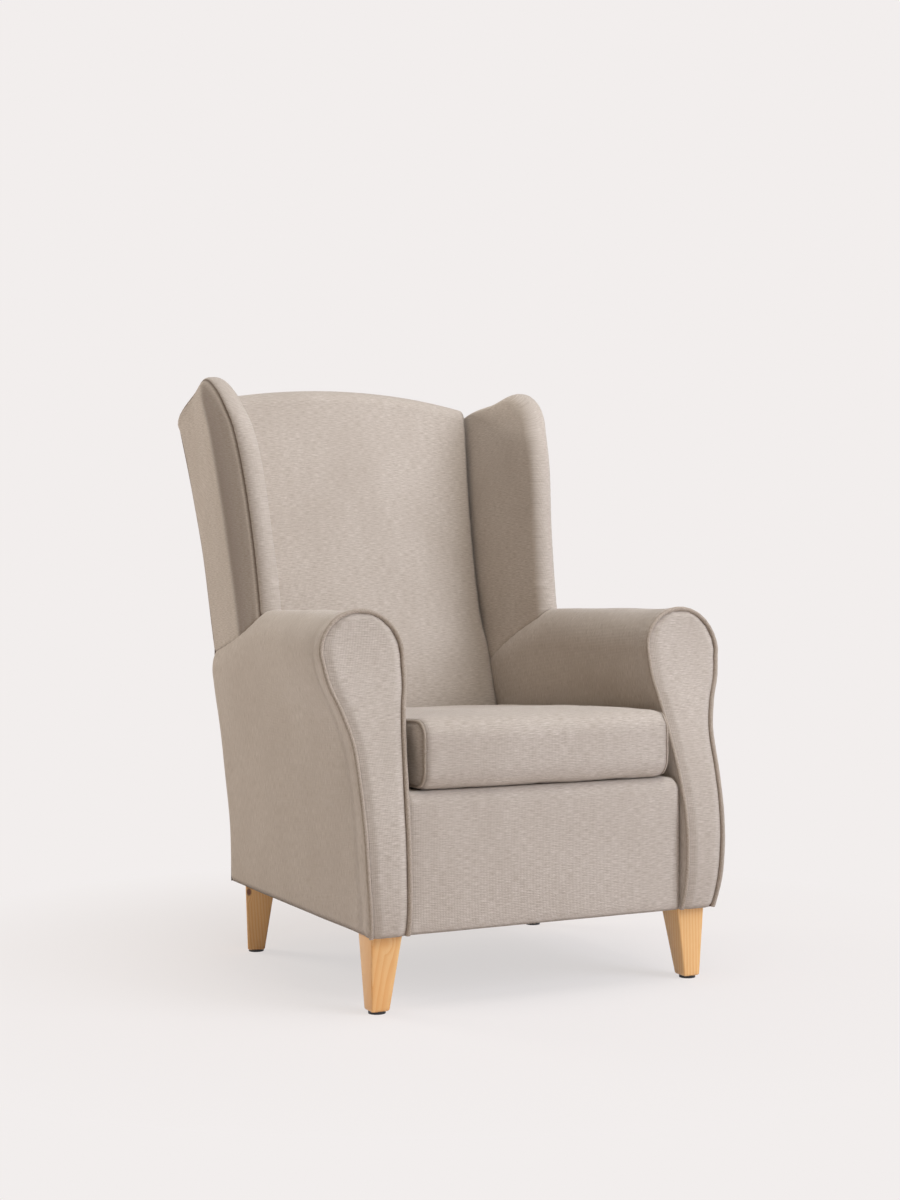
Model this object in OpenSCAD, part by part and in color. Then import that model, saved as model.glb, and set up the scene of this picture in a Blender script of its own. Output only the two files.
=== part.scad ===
// Wing-back fireside chair with rolled arms, a loose box cushion and tapered wooden legs.
// The front of the chair faces -Y, +X is to the right of someone who looks at the front, and
// the floor is at z = 0. Heights below are counted from the floor, depths from the front plane.

/* [Body] */
// Depth of the body at its underside, from the front plane to the rear
body_d = 632; // [600:1:680]
// Clear width between the inner faces of the arms
seat_w = 498; // [460:1:560]
// Thickness of the arms at their foot
arm_w = 64; // [62:1:70]
// Height of the arm tops above the underside of the body
arm_h = 492; // [470:1:520]
// Height of the crest of the back above the underside of the body
back_h = 926; // [880:1:980]
// Height above the underside where the rear of the chair starts to lean back
rake_h = 102; // [80:1:130]
// Lean of the back from the vertical, in degrees
rake = 17.2; // [14:0.1:19]

/* [Arms] */
// Radius of the scroll at the front of each arm
scroll_r = 68; // [62:1:72]
// Distance the scroll stands out from the flat side of the body
arm_overhang = 47; // [30:1:55]
// Lean of the arm front from the vertical, in degrees
arm_tilt = 12.4; // [9:0.1:13.5]
// Distance the foot of the arm front stands ahead of the front plane
front_bulge = 10; // [5:1:15]
// Distance the arm front draws back at its lowest edge
hem_tuck = 14; // [8:1:18]
// Height above the underside where the arm front starts to lean back
lean_h = 105; // [80:1:130]
// Thickness of the padded cover on the arms
arm_pad_t = 12; // [9:1:13]
// Radius of the piping round the arm fronts
piping_r = 3.5; // [2.5:0.1:4.5]
// Height of the swell of the padded arm front
facing_crown = 5; // [2:1:8]

/* [Wings] */
// Distance from the front plane to the front edge of the wings at the arm tops
wing_front = 495; // [470:1:520]
// Drop from the crest of the back to the wing peaks
wing_peak_drop = 2; // [0:1:30]
// Fall of the tops of the wings from their peaks to their rear corners
wing_fall = 66; // [50:1:90]
// Thickness of the wings at their front roll
wing_front_t = 45; // [40:1:52]
// Thickness of the wings at the rear
wing_rear_t = 72; // [68:1:76]
// Distance the wings splay outward towards their tops
wing_splay = 26; // [16:1:32]
// Distance the front of the wings stands further out than their rear
wing_toe = 7; // [0:1:10]
// Extra distance the wings stand out at their peaks
wing_flare = 12; // [0:1:14]
// Distance the seam between wing and arm drops towards the rear
seam_drop = 60; // [45:1:70]
// Thickness of the padded cover on the wings
wing_pad_t = 12; // [10:1:12]

/* [Back] */
// Thickness of the back along its sides
back_t = 56; // [54:1:66]
// Swell of the back in the middle of its width
back_crown = 25; // [15:1:32]
// Swell of the back at its lowest edge
back_foot_crown = 10; // [6:1:14]
// Drop of the crest from its middle to the wings
arch_drop = 26; // [15:1:35]
// Rounding height of the crest
crest_r = 30; // [24:1:36]
// Thickness of the padded cover on the inside of the back
back_pad_t = 8; // [6:1:9]
// Thickness of the panel on the rear of the chair
panel_t = 6; // [4:1:8]

/* [Seat] */
// Height of the seat deck above the underside of the body
deck_h = 216; // [200:1:230]
// Thickness of the foam of the seat deck
deck_foam_t = 23; // [15:1:26]
// Gap between the seat deck and the arms, on each side
deck_gap = 7; // [5:1:15]
// Setback of the front border from the front plane
border_in = 5; // [2:1:9]
// Rounding of the top edge of the front border
border_r = 20; // [12:1:26]
// Thickness of the padding of the front border
border_t = 12.7; // [8:0.1:14]
// Gap between the seat cushion and the arms, on each side
cushion_gap = 19; // [17:1:30]
// Height of the seat cushion at its seams
cushion_h = 112; // [90:1:125]
// Crown of the seat cushion above its seams
cushion_crown = 8; // [4:1:14]
// Distance the cushion corners draw in from the middle of the sides
cushion_draw = 8; // [4:1:12]
// Distance the cushion front stands ahead of the front plane
cushion_front = 2; // [0:1:6]
// Distance from the rear of the body to the rear of the seat cushion
cushion_rear_in = 40; // [38:1:70]
// Plan radius of the cushion corners
cushion_r = 26; // [18:1:40]
// Thickness of the cushion cover with its wadding
cover_t = 6; // [4:1:9]

/* [Legs] */
// Height of the legs, from the floor to the underside of the body
leg_h = 120; // [90:1:160]
// Side of the square leg at its top
leg_top = 52; // [46:1:56]
// Side of the square leg at its foot
leg_foot = 30; // [26:1:36]
// Sideways taper of the outer side of the leg
leg_side_taper = 3.5; // [1:0.5:8]
// Front to rear taper of the outer face of the leg
leg_face_taper = 8; // [3:0.5:10]
// Distance from the flat side of the body to the axis of the front legs
front_leg_in = 39; // [36:1:41]
// Distance from the flat side of the body to the axis of the rear legs
rear_leg_in = 36; // [33:1:39]
// Distance from the front plane to the axis of the front legs
front_leg_y = 45; // [38:1:48]
// Distance from the rear of the body to the axis of the rear legs
rear_leg_y = 61; // [52:1:64]
// Turn of each rear leg about its bolt, in degrees
rear_leg_turn = 20; // [0:1:25]
// Thickness of the glides under the legs
glide_t = 4; // [3:1:6]

/* [Frame] */
// Thickness of the seat rails
rail_t = 22; // [18:1:24]
// Height of the side and rear seat rails
rail_h = 80; // [60:1:95]
// Height of the front seat rail
front_rail_h = 150; // [120:1:160]
// Width of the front posts across the chair
front_post_w = 28; // [26:1:29]
// Depth of the front posts and arm posts
front_post_d = 44; // [38:1:46]
// Distance the front posts rise above the seat deck
front_post_rise = 8.5; // [2:0.5:10]
// Thickness of the raked rear posts
post_t = 26; // [22:1:27]
// Depth of the raked rear posts
post_d = 70; // [64:1:74]
// Drop from the crest of the back to the tops of the rear posts
post_drop = 240; // [236:1:266]
// Height of the arm rails
arm_rail_h = 30; // [22:1:34]
// Drop from the arm tops to the underside of the arm rails
arm_rail_drop = 112; // [102:1:122]
// Thickness of the plywood boards in the back
board_t = 18; // [15:1:18]
// Thickness of the scroll boards
scroll_board_t = 12; // [9:1:15]
// Thickness of the wing boards
wing_board_t = 8; // [6:1:9]
// Side of the corner blocks
block_side = 60; // [45:1:75]
// Height of the corner blocks
block_h = 50; // [35:1:60]

/* [Suspension] */
// Number of zigzag springs under the seat
spring_count = 4; // [3:1:5]
// Diameter of the spring wire
wire_d = 4; // [3:0.2:4.4]
// Width of the zigzag of each spring
spring_w = 52; // [44:1:60]
// Number of bends of each spring
spring_bends = 11; // [9:2:15]
// Width of the webbing
web_w = 50; // [40:1:60]
// Thickness of the webbing
web_t = 1.5; // [1:0.1:1.8]

/* [Fastenings] */
// Radius of the leg bolts
bolt_r = 4; // [3:0.5:5]
// Length of the leg bolts above the underside of the body
bolt_up = 45; // [30:1:60]
// Length of the leg bolts below the underside of the body
bolt_down = 45; // [30:1:60]
// Side of the steel leg plates
plate_side = 50; // [44:1:51]
// Thickness of the steel leg plates
plate_t = 2.5; // [2:0.1:4]
// Radius of the frame screws
screw_r = 2.2; // [1.5:0.1:3]
// Depth of the frame screws in the rails
screw_bite = 36; // [25:1:45]
// Distance from the ends of the zip to the sides of the cushion
zip_end_in = 40; // [30:1:80]

/* [Hidden] */

// Clearance between soft pieces and what they lie against
soft_gap = 0.3;
// Running clearance round screws and bolts in their holes
hole_gap = 0.1;
// Overrun of cuts past the faces they open
over = 1;
// Sides of a full turn on the round pieces
round_fn = 14;

base_z = leg_h;
arm_in_x = seat_w / 2;
side_x = arm_in_x + arm_w;
arm_top_z = base_z + arm_h;
back_top_z = base_z + back_h;
deck_z = base_z + deck_h;
rake_z = base_z + rake_h;
rake_slope = tan(rake);
deck_w = seat_w - 2 * deck_gap;
deck_x = deck_w / 2;
post_h = back_h - post_drop;
arm_rail_z = arm_h - arm_rail_drop;
arm_lean = tan(arm_tilt) * (arm_h - lean_h);
wing_rise = back_h - arm_h - wing_peak_drop;
wing_corner_h = wing_rise - wing_fall;
cushion_w = seat_w - 2 * cushion_gap;
cushion_d = body_d - cushion_rear_in + cushion_front;
zip_len = cushion_w - 2 * zip_end_in;

// Length over which the rear face eases from upright into its lean
rake_blend = 30;

function mix(a, b, t) = a + (b - a) * t;
function clamp(t) = max(0, min(1, t));
function ease(t) = let (c = clamp(t)) c * c * (3 - 2 * c);
function soft_ramp(d, blend) = (d + sqrt(d * d + blend * blend)) / 2;
function steps(n) = [for (i = [0 : n]) i / n];

// Smooth curve through a table of [key, value] rows, read at any key
function row_of(t, key, i = 0) =
    i >= len(t) - 2 || key <= t[i + 1][0] ? i : row_of(t, key, i + 1);
function slope_at(t, i, c) =
    let (a = max(0, i - 1), b = min(len(t) - 1, i + 1)) (t[b][c] - t[a][c]) / (t[b][0] - t[a][0]);
function curve(t, key, c = 1) =
    let (i = row_of(t, key), p = t[i], q = t[i + 1], h = q[0] - p[0], k = (key - p[0]) / h,
        m = slope_at(t, i, c) * h, n = slope_at(t, i + 1, c) * h)
    (2 * k ^ 3 - 3 * k ^ 2 + 1) * p[c] + (k ^ 3 - 2 * k ^ 2 + k) * m
        + (3 * k ^ 2 - 2 * k ^ 3) * q[c] + (k ^ 3 - k ^ 2) * n;

// Rear face of the chair: upright at the foot, then leaning back
function rear_y(z) = body_d + rake_slope * soft_ramp(z - rake_z, rake_blend);
// Front face of the arms at a height
function arm_front_y(z) =
    let (t = (z - base_z - lean_h) / (arm_h - lean_h), hem = 1 - clamp((z - base_z) / lean_h * 1.4))
    arm_lean * ease(t) - front_bulge + hem_tuck * hem * hem;

rear_max_y = rear_y(back_top_z - crest_r);
front_min_y = -front_bulge - facing_crown;
// The middle of the depth is at y = 0
front_y = -(rear_max_y + front_min_y) / 2;

module from_front() translate([0, front_y, 0]) children();
module on_side(side) mirror([side < 0 ? 1 : 0, 0, 0]) children();

// Closed solid between two grids of points with the same rows and columns
module slab(a, b) {
    rows = len(a);
    cols = len(a[0]);
    n = rows * cols;
    faces = [
        for (i = [0 : rows - 2], j = [0 : cols - 2]) let (p = i * cols + j)
            each [[p, p + 1, p + cols + 1], [p, p + cols + 1, p + cols],
                [n + p, n + p + cols + 1, n + p + 1], [n + p, n + p + cols, n + p + cols + 1]],
        for (i = [0 : rows - 2]) let (p = i * cols, q = p + cols - 1)
            each [[p, p + cols, n + p + cols], [p, n + p + cols, n + p],
                [q, n + q + cols, q + cols], [q, n + q, n + q + cols]],
        for (j = [0 : cols - 2]) let (p = j, q = (rows - 1) * cols + j)
            each [[p, n + p + 1, p + 1], [p, n + p, n + p + 1],
                [q, q + 1, n + q + 1], [q, n + q + 1, n + q]]
    ];
    polyhedron([for (r = a) each r, for (r = b) each r], faces, convexity = 8);
}

// Closed solid through rings of points, with a flat fan at each end
module tube(rings) {
    m = len(rings[0]);
    n = len(rings);
    faces = [
        for (i = [0 : n - 2], j = [0 : m - 1]) let (k = (j + 1) % m)
            each [[i * m + j, (i + 1) * m + k, i * m + k], [i * m + j, (i + 1) * m + j, (i + 1) * m + k]],
        [for (j = [0 : m - 1]) j],
        [for (j = [0 : m - 1]) n * m - 1 - j]
    ];
    polyhedron([for (r = rings) each r], faces, convexity = 4);
}

// Points of a path in a plane moved sideways, to the right of the way it runs
function aside(path, d) = [for (i = [0 : len(path) - 1])
    let (a = path[max(0, i - 1)], b = path[min(len(path) - 1, i + 1)], v = b - a)
    path[i] + d * [v[1], -v[0]] / norm(v)];

// Plank in the plane of the chair's side: an outline in depth and height, t thick from x0
module side_plank(x0, t, outline) translate([x0, 0, 0]) rotate([90, 0, 90])
    linear_extrude(t) polygon(outline);

// Board that leans with the back: an outline in width and raked height, t thick
module raked_board(z0, off, t, outline) translate([0, rear_y(z0) - off, z0]) rotate([-rake, 0, 0])
    rotate([90, 0, 0]) linear_extrude(t) polygon(outline);

// Heights between two levels, closer together where the rear face bends
bend_shares = [-3, -1.8, -1, -0.5, 0, 0.5, 1, 1.8, 3, 5, 10, 20];
function heights(z0, z1) = [z0,
    for (k = bend_shares) let (z = rake_z + rake_blend * k) if (z > z0 && z < z1) z, z1];
function reversed(v) = [for (i = [len(v) - 1 : -1 : 0]) v[i]];
// Outline of a strip that follows the rear face between two depths ahead of it
function ribbon(z0, z1, near, far) = concat(
    [for (z = heights(z0, z1)) [rear_y(z) - far, z]],
    [for (z = reversed(heights(z0, z1))) [rear_y(z) - near, z]]);

// Frame
frame_gap = 3;
frame_x = arm_in_x + arm_pad_t + frame_gap;
cloth_t = 2;
felt_t = 2;
clip_wall = 2;
clip_play = 0.2;
clip_h = wire_d + 2 * clip_wall + 2 * clip_play;
clip_w = 16;
clip_side_play = 3.5;
clip_d = 8;
clip_top_z = deck_z - cloth_t - deck_foam_t - felt_t - 3 * soft_gap;
frame_top_z = clip_top_z - clip_h;
front_rail_y = border_in + border_t + soft_gap;
// The posts stand just behind the boards of the arm fronts
facing_board_t = 4;
post_clear = 1.6;
arm_post_clear = 4;
facing_back = piping_r + soft_gap + facing_board_t;
post_top_z = deck_z + front_post_rise;
front_post_y = arm_front_y(post_top_z) + facing_back + post_clear;
rear_rail_in = 57;
rear_rail_y = body_d - rear_rail_in;
post_rear_y = front_post_y + front_post_d;
panel_gap = 0.3;
board_off = panel_t + panel_gap;
post_off = board_off + post_d;
seat_frame_z = frame_top_z - rail_h;
block_top_gap = 15;
deck_end_in = 42;
deck_end_y = body_d - deck_end_in;
border_over = 2;
border_end_y = post_rear_y + border_over;

module front_seat_rail() color("burlywood") from_front() difference() {
    translate([-frame_x, front_rail_y, frame_top_z - front_rail_h])
        cube([2 * frame_x, rail_t, front_rail_h]);
    frame_screw_holes();
}
module rear_seat_rail() color("burlywood") from_front() difference() {
    translate([-frame_x, rear_rail_y, seat_frame_z]) cube([2 * frame_x, rail_t, rail_h]);
    frame_screw_holes();
}
module side_seat_rail(side) color("burlywood") from_front() on_side(side)
    side_plank(frame_x, rail_t, concat([[post_rear_y, frame_top_z], [post_rear_y, seat_frame_z]],
        [for (z = heights(seat_frame_z, frame_top_z)) [rear_y(z) - post_off - soft_gap, z]]));
module side_seat_rail_left() side_seat_rail(-1);
module side_seat_rail_right() side_seat_rail(1);

module corner_blocks() color("tan") from_front() for (side = [-1, 1]) on_side(side)
    translate([frame_x, 0, frame_top_z - block_top_gap - block_h]) linear_extrude(block_h) {
        translate([0, front_rail_y + rail_t])
            polygon([[0, 0], [-block_side, 0], [0, block_side]]);
        translate([0, rear_rail_y]) polygon([[0, 0], [-block_side, 0], [0, -block_side]]);
    }

module front_post(side) color("burlywood") from_front() difference() {
    on_side(side) translate([frame_x, front_post_y, base_z + plate_t])
        cube([front_post_w, front_post_d, post_top_z - base_z - plate_t]);
    frame_screw_holes();
    leg_bolt_holes();
}
module front_post_left() front_post(-1);
module front_post_right() front_post(1);

rail_low_z = base_z + arm_rail_z;
arm_post_y = max(arm_front_y(rail_low_z) + facing_back + arm_post_clear, post_rear_y + post_clear);
module arm_post(side) color("tan") from_front() on_side(side)
    translate([frame_x, arm_post_y, frame_top_z])
        cube([front_post_w, front_post_d, base_z + arm_rail_z - frame_top_z]);
module arm_post_left() arm_post(-1);
module arm_post_right() arm_post(1);

// Scrolls and arm rails stand on the arm posts
scroll_x = side_x + arm_overhang - scroll_r;
scroll_z = arm_top_z - scroll_r;
scroll_in = 4;
scroll_back = 4;
scroll_y = arm_post_y + front_post_d - scroll_back - scroll_board_t;
module arm_rail(side) color("burlywood") from_front() on_side(side)
    side_plank(frame_x, post_t, [[scroll_y + scroll_board_t, rail_low_z + arm_rail_h],
        [scroll_y + scroll_board_t, rail_low_z],
        [rear_y(rail_low_z) - post_off - soft_gap, rail_low_z],
        [rear_y(rail_low_z + arm_rail_h) - post_off - soft_gap, rail_low_z + arm_rail_h]]);
module arm_rail_left() arm_rail(-1);
module arm_rail_right() arm_rail(1);

module scroll_board(side) color("wheat") from_front() on_side(side)
    translate([0, scroll_y + scroll_board_t, 0]) rotate([90, 0, 0]) linear_extrude(scroll_board_t)
        intersection() {
            translate([scroll_x, scroll_z]) circle(scroll_r - arm_pad_t - scroll_in, $fn = round_fn);
            translate([0, rail_low_z]) square([scroll_x + arm_w, arm_h]);
        }
module scroll_board_left() scroll_board(-1);
module scroll_board_right() scroll_board(1);

module rear_post(side) color("burlywood") from_front() difference() {
    on_side(side) side_plank(frame_x, post_t,
        ribbon(base_z + plate_t, base_z + post_h, board_off, post_off));
    frame_screw_holes();
    leg_bolt_holes();
}
module rear_post_left() rear_post(-1);
module rear_post_right() rear_post(1);

// Height of the lower back rail above the seat deck
back_rail_up = 10;
back_rail_z = deck_z + back_rail_up;
back_rail_h = 60;
crest_z = base_z + post_h - back_rail_h;
module lower_back_rail() color("burlywood") from_front() difference() {
    side_plank(-frame_x, 2 * frame_x,
        ribbon(back_rail_z, back_rail_z + back_rail_h, board_off, board_off + board_t));
    frame_screw_holes();
}

// Arched board that carries the crest of the back
crest_clear = 2;
crest_shoulder = 28;
function up_rake(z) = (z - crest_z) / cos(rake);
function crest_at(x) = back_top_z - arch_drop * (x / back_x_at(back_top_z)) ^ 2;
module crest_board() color("wheat") from_front() difference() {
    raked_board(crest_z, board_off, board_t * cos(rake), concat(
        [[-frame_x, 0], [frame_x, 0], [frame_x, back_rail_h]],
        [for (t = steps(8)) let (x = (frame_x - crest_shoulder) * (1 - 2 * t))
            [x, up_rake(crest_at(x) - crest_r - crest_clear)]],
        [[-frame_x, back_rail_h]]));
    frame_screw_holes();
}

// Screws through the posts into the rails: depth, height, and the outer face of the post
screw_head_r = 4.4;
screw_head_h = 3;
screw_sink = 1;
front_screw_zs = [seat_frame_z, frame_top_z - rail_t];
screws = [
    for (z = front_screw_zs) [front_rail_y + rail_t / 2, z, frame_x + front_post_w],
    [rear_rail_y + rail_t / 2, seat_frame_z + rail_t, frame_x + post_t],
    for (z = [back_rail_z + back_rail_h / 2, crest_z + back_rail_h / 2])
        [rear_y(z) - board_off - board_t / 2, z, frame_x + post_t]
];
module screw_shape(gap) for (s = screws, side = [-1, 1]) on_side(side)
    translate([frame_x - screw_bite - gap, s[0], s[1]]) rotate([0, 90, 0]) {
        cylinder(r = screw_r + gap, h = s[2] - frame_x + screw_bite - screw_sink + gap, $fn = round_fn);
        translate([0, 0, s[2] - frame_x + screw_bite - screw_sink - screw_head_h])
            cylinder(r = screw_head_r + gap,
                h = screw_head_h + (gap > 0 ? screw_sink + gap + over : 0), $fn = round_fn);
    }
module frame_screw_holes() screw_shape(hole_gap);
module frame_screws() color("silver") from_front() screw_shape(0);

// Legs
module at_leg(side, rear) on_side(side)
    translate([side_x - (rear ? rear_leg_in : front_leg_in),
        rear ? body_d - rear_leg_y : front_leg_y, 0]) children();
module leg_pose(rear) rotate([0, 0, rear ? rear_leg_turn : 0]) mirror([0, rear ? 1 : 0, 0])
    children();
module at_legs() for (side = [-1, 1], rear = [false, true]) at_leg(side, rear)
    leg_pose(rear) children();
foot_x = leg_top / 2 - leg_side_taper - leg_foot / 2;
foot_y = leg_face_taper - leg_top / 2 + leg_foot / 2;
glide_in = 1.5;
pin_r = 1.5;
pin_h = 14;
module taper(foot) polygon([[-leg_top / 2, leg_h], [foot - leg_foot / 2, glide_t],
    [foot + leg_foot / 2, glide_t], [leg_top / 2, leg_h]]);
module leg(side, rear) color("burlywood") from_front() at_leg(side, rear) leg_pose(rear)
    difference() {
        intersection() {
            translate([0, leg_top / 2, 0]) rotate([90, 0, 0]) linear_extrude(leg_top) taper(foot_x);
            translate([-leg_top / 2, 0, 0]) rotate([90, 0, 90]) linear_extrude(leg_top) taper(foot_y);
        }
        translate([0, 0, leg_h - bolt_down - hole_gap])
            cylinder(r = bolt_r + hole_gap, h = bolt_down + over, $fn = round_fn);
        translate([foot_x, foot_y, 0])
            cylinder(r = pin_r + hole_gap, h = glide_t + pin_h + hole_gap, $fn = round_fn);
    }
module leg_front_left() leg(-1, false);
module leg_front_right() leg(1, false);
module leg_rear_left() leg(-1, true);
module leg_rear_right() leg(1, true);

module leg_glides() color("dimgray") from_front() at_legs() translate([foot_x, foot_y, 0]) {
    cylinder(r = leg_foot / 2 - glide_in, h = glide_t, $fn = round_fn);
    cylinder(r = pin_r, h = glide_t + pin_h, $fn = round_fn);
}
module leg_bolt_shape(gap) for (side = [-1, 1], rear = [false, true]) at_leg(side, rear)
    translate([0, 0, leg_h - bolt_down])
        cylinder(r = bolt_r + gap, h = bolt_down + bolt_up + gap, $fn = round_fn);
module leg_bolt_holes() leg_bolt_shape(hole_gap);
module leg_bolts() color("silver") from_front() leg_bolt_shape(0);
module plate_places() for (side = [-1, 1], y = [front_leg_y, body_d - rear_leg_y]) on_side(side)
    translate([dust_x - plate_side, y - plate_side / 2, 0]) children();
module leg_plates() color("silver") from_front() difference() {
    plate_places() translate([0, 0, base_z]) cube([plate_side, plate_side, plate_t]);
    leg_bolt_holes();
}

// Arm sections: inner and outer sides as shares of the overhang, against shares of the height
inner_shares = [[0, 0.12], [0.16, 0], [0.33, 0], [0.47, 0.16], [0.59, 0.38], [0.69, 0.64],
    [0.77, 0.92], [0.862, 1]];
outer_shares = [[0, -0.13], [0.16, 0.07], [0.33, 0.14], [0.47, 0.17], [0.59, 0.22], [0.69, 0.49],
    [0.77, 0.81], [0.862, 1]];
// Share of each overhang that is left at the rear, and where it gets there
inner_rear_share = 0.3;
outer_rear_share = 0.15;
fade_end_share = 0.7;
inner_hang = arm_in_x - scroll_x + scroll_r;
scroll_share = 1 - scroll_r / arm_h;
curve_gap = 0.8;
arm_end_off = panel_t + curve_gap;
arm_weld = piping_r + curve_gap;
hem_z = base_z + soft_gap;
tuck_z = clip_top_z;

function arm_y(z, s) = mix(arm_front_y(z) + arm_weld, rear_y(z) - arm_end_off, s);
wing_foot_y = rear_y(arm_top_z - seam_drop) - arm_end_off;
seam_slope = seam_drop / (wing_foot_y - wing_front);
function seam_fall(y) = seam_slope * max(0, y - wing_front);
function arm_drop(s) = let (a = seam_fall(arm_y(arm_top_z, s)), b = seam_fall(arm_y(arm_top_z - a, s)))
    seam_fall(arm_y(arm_top_z - b, s));
function share_of(z, s) = (z - base_z) / (arm_h - arm_drop(s));
function fade(rear, s) = mix(1, rear, ease(s / fade_end_share));
// Tables end at their own scroll share, so a height is read on that scale
function on_table(h, t) = h * t[len(t) - 1][0] / scroll_share;
function inner_x(h, s) = arm_in_x
    - inner_hang * curve(inner_shares, on_table(h, inner_shares)) * fade(inner_rear_share, s);
function outer_x(h, s) = side_x
    + arm_overhang * curve(outer_shares, on_table(h, outer_shares)) * fade(outer_rear_share, s);
// Outline of the arm across the chair, from one height on its inner side to one on its outer side
function arm_outline(s, z0, z1, n_in, n_arc, n_out) =
    let (b = scroll_share, full = arm_h - arm_drop(s), zb = base_z + b * full,
        xi = inner_x(b, s), xo = outer_x(b, s), cx = (xi + xo) / 2, rx = (xo - xi) / 2,
        rz = (1 - b) * full)
    concat([for (t = steps(n_in)) let (z = mix(z0, zb, t)) [inner_x(share_of(z, s), s), z]],
        [for (i = [1 : n_arc - 1]) let (a = 180 - 180 * i / n_arc) [cx + rx * cos(a), zb + rz * sin(a)]],
        [for (t = steps(n_out)) let (z = mix(zb, z1, t)) [outer_x(share_of(z, s), s), z]]);
function in_depth(outline, s) = [for (p = outline) [p[0], arm_y(p[1], s), p[1]]];
// The inner side of the arm cover ends where the back begins
function cover_end_off(x) =
    mix(back_t - back_pad_t, arm_end_off, ease((x - frame_x) / (scroll_x - frame_x)));
function cover_depth(outline, s) = [for (p = outline)
    [p[0], mix(arm_front_y(p[1]) + arm_weld, rear_y(p[1]) - cover_end_off(p[0]), s), p[1]]];

wing_share = let (y0 = arm_y(arm_top_z, 0), y1 = arm_y(arm_top_z, 1)) (wing_front - y0) / (y1 - y0);
arm_stations = [for (t = steps(7)) wing_share * t, for (i = [1 : 3]) mix(wing_share, 1, i / 3)];
module arm_cover(side) color("tan") from_front() on_side(side) difference() {
    outlines = [for (s = arm_stations) arm_outline(s, tuck_z, hem_z, 6, 12, 10)];
    n = len(arm_stations) - 1;
    slab([for (i = [0 : n]) cover_depth(aside(outlines[i], arm_pad_t), arm_stations[i])],
        [for (i = [0 : n]) cover_depth(outlines[i], arm_stations[i])]);
    side_plank(frame_x - soft_gap, post_t + 2 * soft_gap,
        ribbon(rail_low_z, arm_top_z, panel_t / 2, post_off + soft_gap));
}
module arm_cover_left() arm_cover(-1);
module arm_cover_right() arm_cover(1);

// Foam on top of the arm rail, under the cover
foam_in = 3;
foam_front_share = 0.08;
foam_end_share = 0.56;
foam_arc = 155;
module arm_foam(side) color("khaki") from_front() on_side(side) {
    tops = [for (t = steps(5)) let (s = mix(foam_front_share, foam_end_share, t), b = scroll_share,
            xi = inner_x(b, s), xo = outer_x(b, s))
        in_depth([for (k = steps(8)) let (a = 90 + foam_arc / 2 - foam_arc * k)
            [(xi + xo) / 2 + ((xo - xi) / 2 - arm_pad_t - foam_in) * cos(a),
                scroll_z + (scroll_r - arm_pad_t - foam_in) * sin(a)]], s)];
    slab([for (r = tops) [for (p = r) [p[0], p[1], rail_low_z + arm_rail_h + soft_gap]]], tops);
}
module arm_foam_left() arm_foam(-1);
module arm_foam_right() arm_foam(1);

// Rows across the arm front, each with its inner and outer end, set in from the outline
function facing_rows(inset) = concat(
    [for (t = steps(10)) let (z = mix(hem_z, scroll_z, t), h = share_of(z, 0))
        [inner_x(h, 0) + inset, outer_x(h, 0) - inset, z]],
    [for (a = [12 : 12 : 84]) let (r = scroll_r - inset)
        [scroll_x - r * cos(a), scroll_x + r * cos(a), scroll_z + r * sin(a)]]);
function facing_grid(inset, off, crown, n) = [for (row = facing_rows(inset)) [for (t = steps(n))
    let (u = 2 * t - 1)
    [mix(row[0], row[1], t), arm_front_y(row[2]) + off - crown * (1 - u * u) * (1 - u * u), row[2]]]];
module arm_facing(side) color("tan") from_front() on_side(side)
    slab(facing_grid(piping_r + curve_gap, piping_r, 0, 6),
        facing_grid(piping_r + curve_gap, 0, facing_crown, 6));
module arm_facing_left() arm_facing(-1);
module arm_facing_right() arm_facing(1);

facing_board_in = 2;
module facing_board(side) color("wheat") from_front() on_side(side) {
    inset = arm_pad_t + facing_board_in;
    slab(facing_grid(inset, piping_r + soft_gap + facing_board_t, 0, 1),
        facing_grid(inset, piping_r + soft_gap, 0, 1));
}
module facing_board_left() facing_board(-1);
module facing_board_right() facing_board(1);

// Piping round the edge of the arm front
module arm_piping(side) color("tan") from_front() on_side(side) {
    path = arm_outline(0, hem_z, hem_z, 14, 16, 14);
    tube([for (i = [0 : len(path) - 1])
        let (a = path[max(0, i - 1)], b = path[min(len(path) - 1, i + 1)], v = (b - a) / norm(b - a))
        [for (k = [0 : 5]) let (q = 60 * k, r = piping_r)
            [path[i][0] + r * cos(q) * v[1], arm_front_y(path[i][1]) + r * sin(q),
                path[i][1] - r * cos(q) * v[0]]]]);
}
module arm_piping_left() arm_piping(-1);
module arm_piping_right() arm_piping(1);

// Wings: a rim that runs up the front edge, over the peak and down to the rear corner
wing_gap = 0.6;
wing_end_y = rear_y(arm_top_z + wing_corner_h) - arm_end_off;
wing_rear_h = 25;
wing_mid_x = frame_x + post_t / 2 - frame_gap;
// Rows of distance along the rim, share of the wing's depth, share of its rise
rim_shares = [[0, 0, 0], [0.235, 0.085, 0.368], [0.417, 0.16, 0.653], [0.53, 0.25, 0.817],
    [0.627, 0.37, 0.933], [0.727, 0.54, 1], [0.842, 0.74, 0.955], [1, 1, 0.847]];
corner_share = rim_shares[len(rim_shares) - 1][2];
function rim(t) = [mix(wing_front, wing_end_y, curve(rim_shares, t, 1)),
    arm_top_z + wing_gap + (wing_rise - wing_gap) * curve(rim_shares, t, 2)
        * mix(1, wing_corner_h / wing_rise / corner_share, ease(t))];
wing_foot_z = arm_top_z - seam_drop + wing_gap;
function spine(t) = let (z = mix(wing_foot_z, arm_top_z + wing_corner_h - wing_rear_h, t))
    [rear_y(z) - arm_end_off, z];
function wing_x(z) = wing_mid_x + wing_splay * clamp((z - arm_top_z) / wing_corner_h) ^ (8 / 5);
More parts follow.
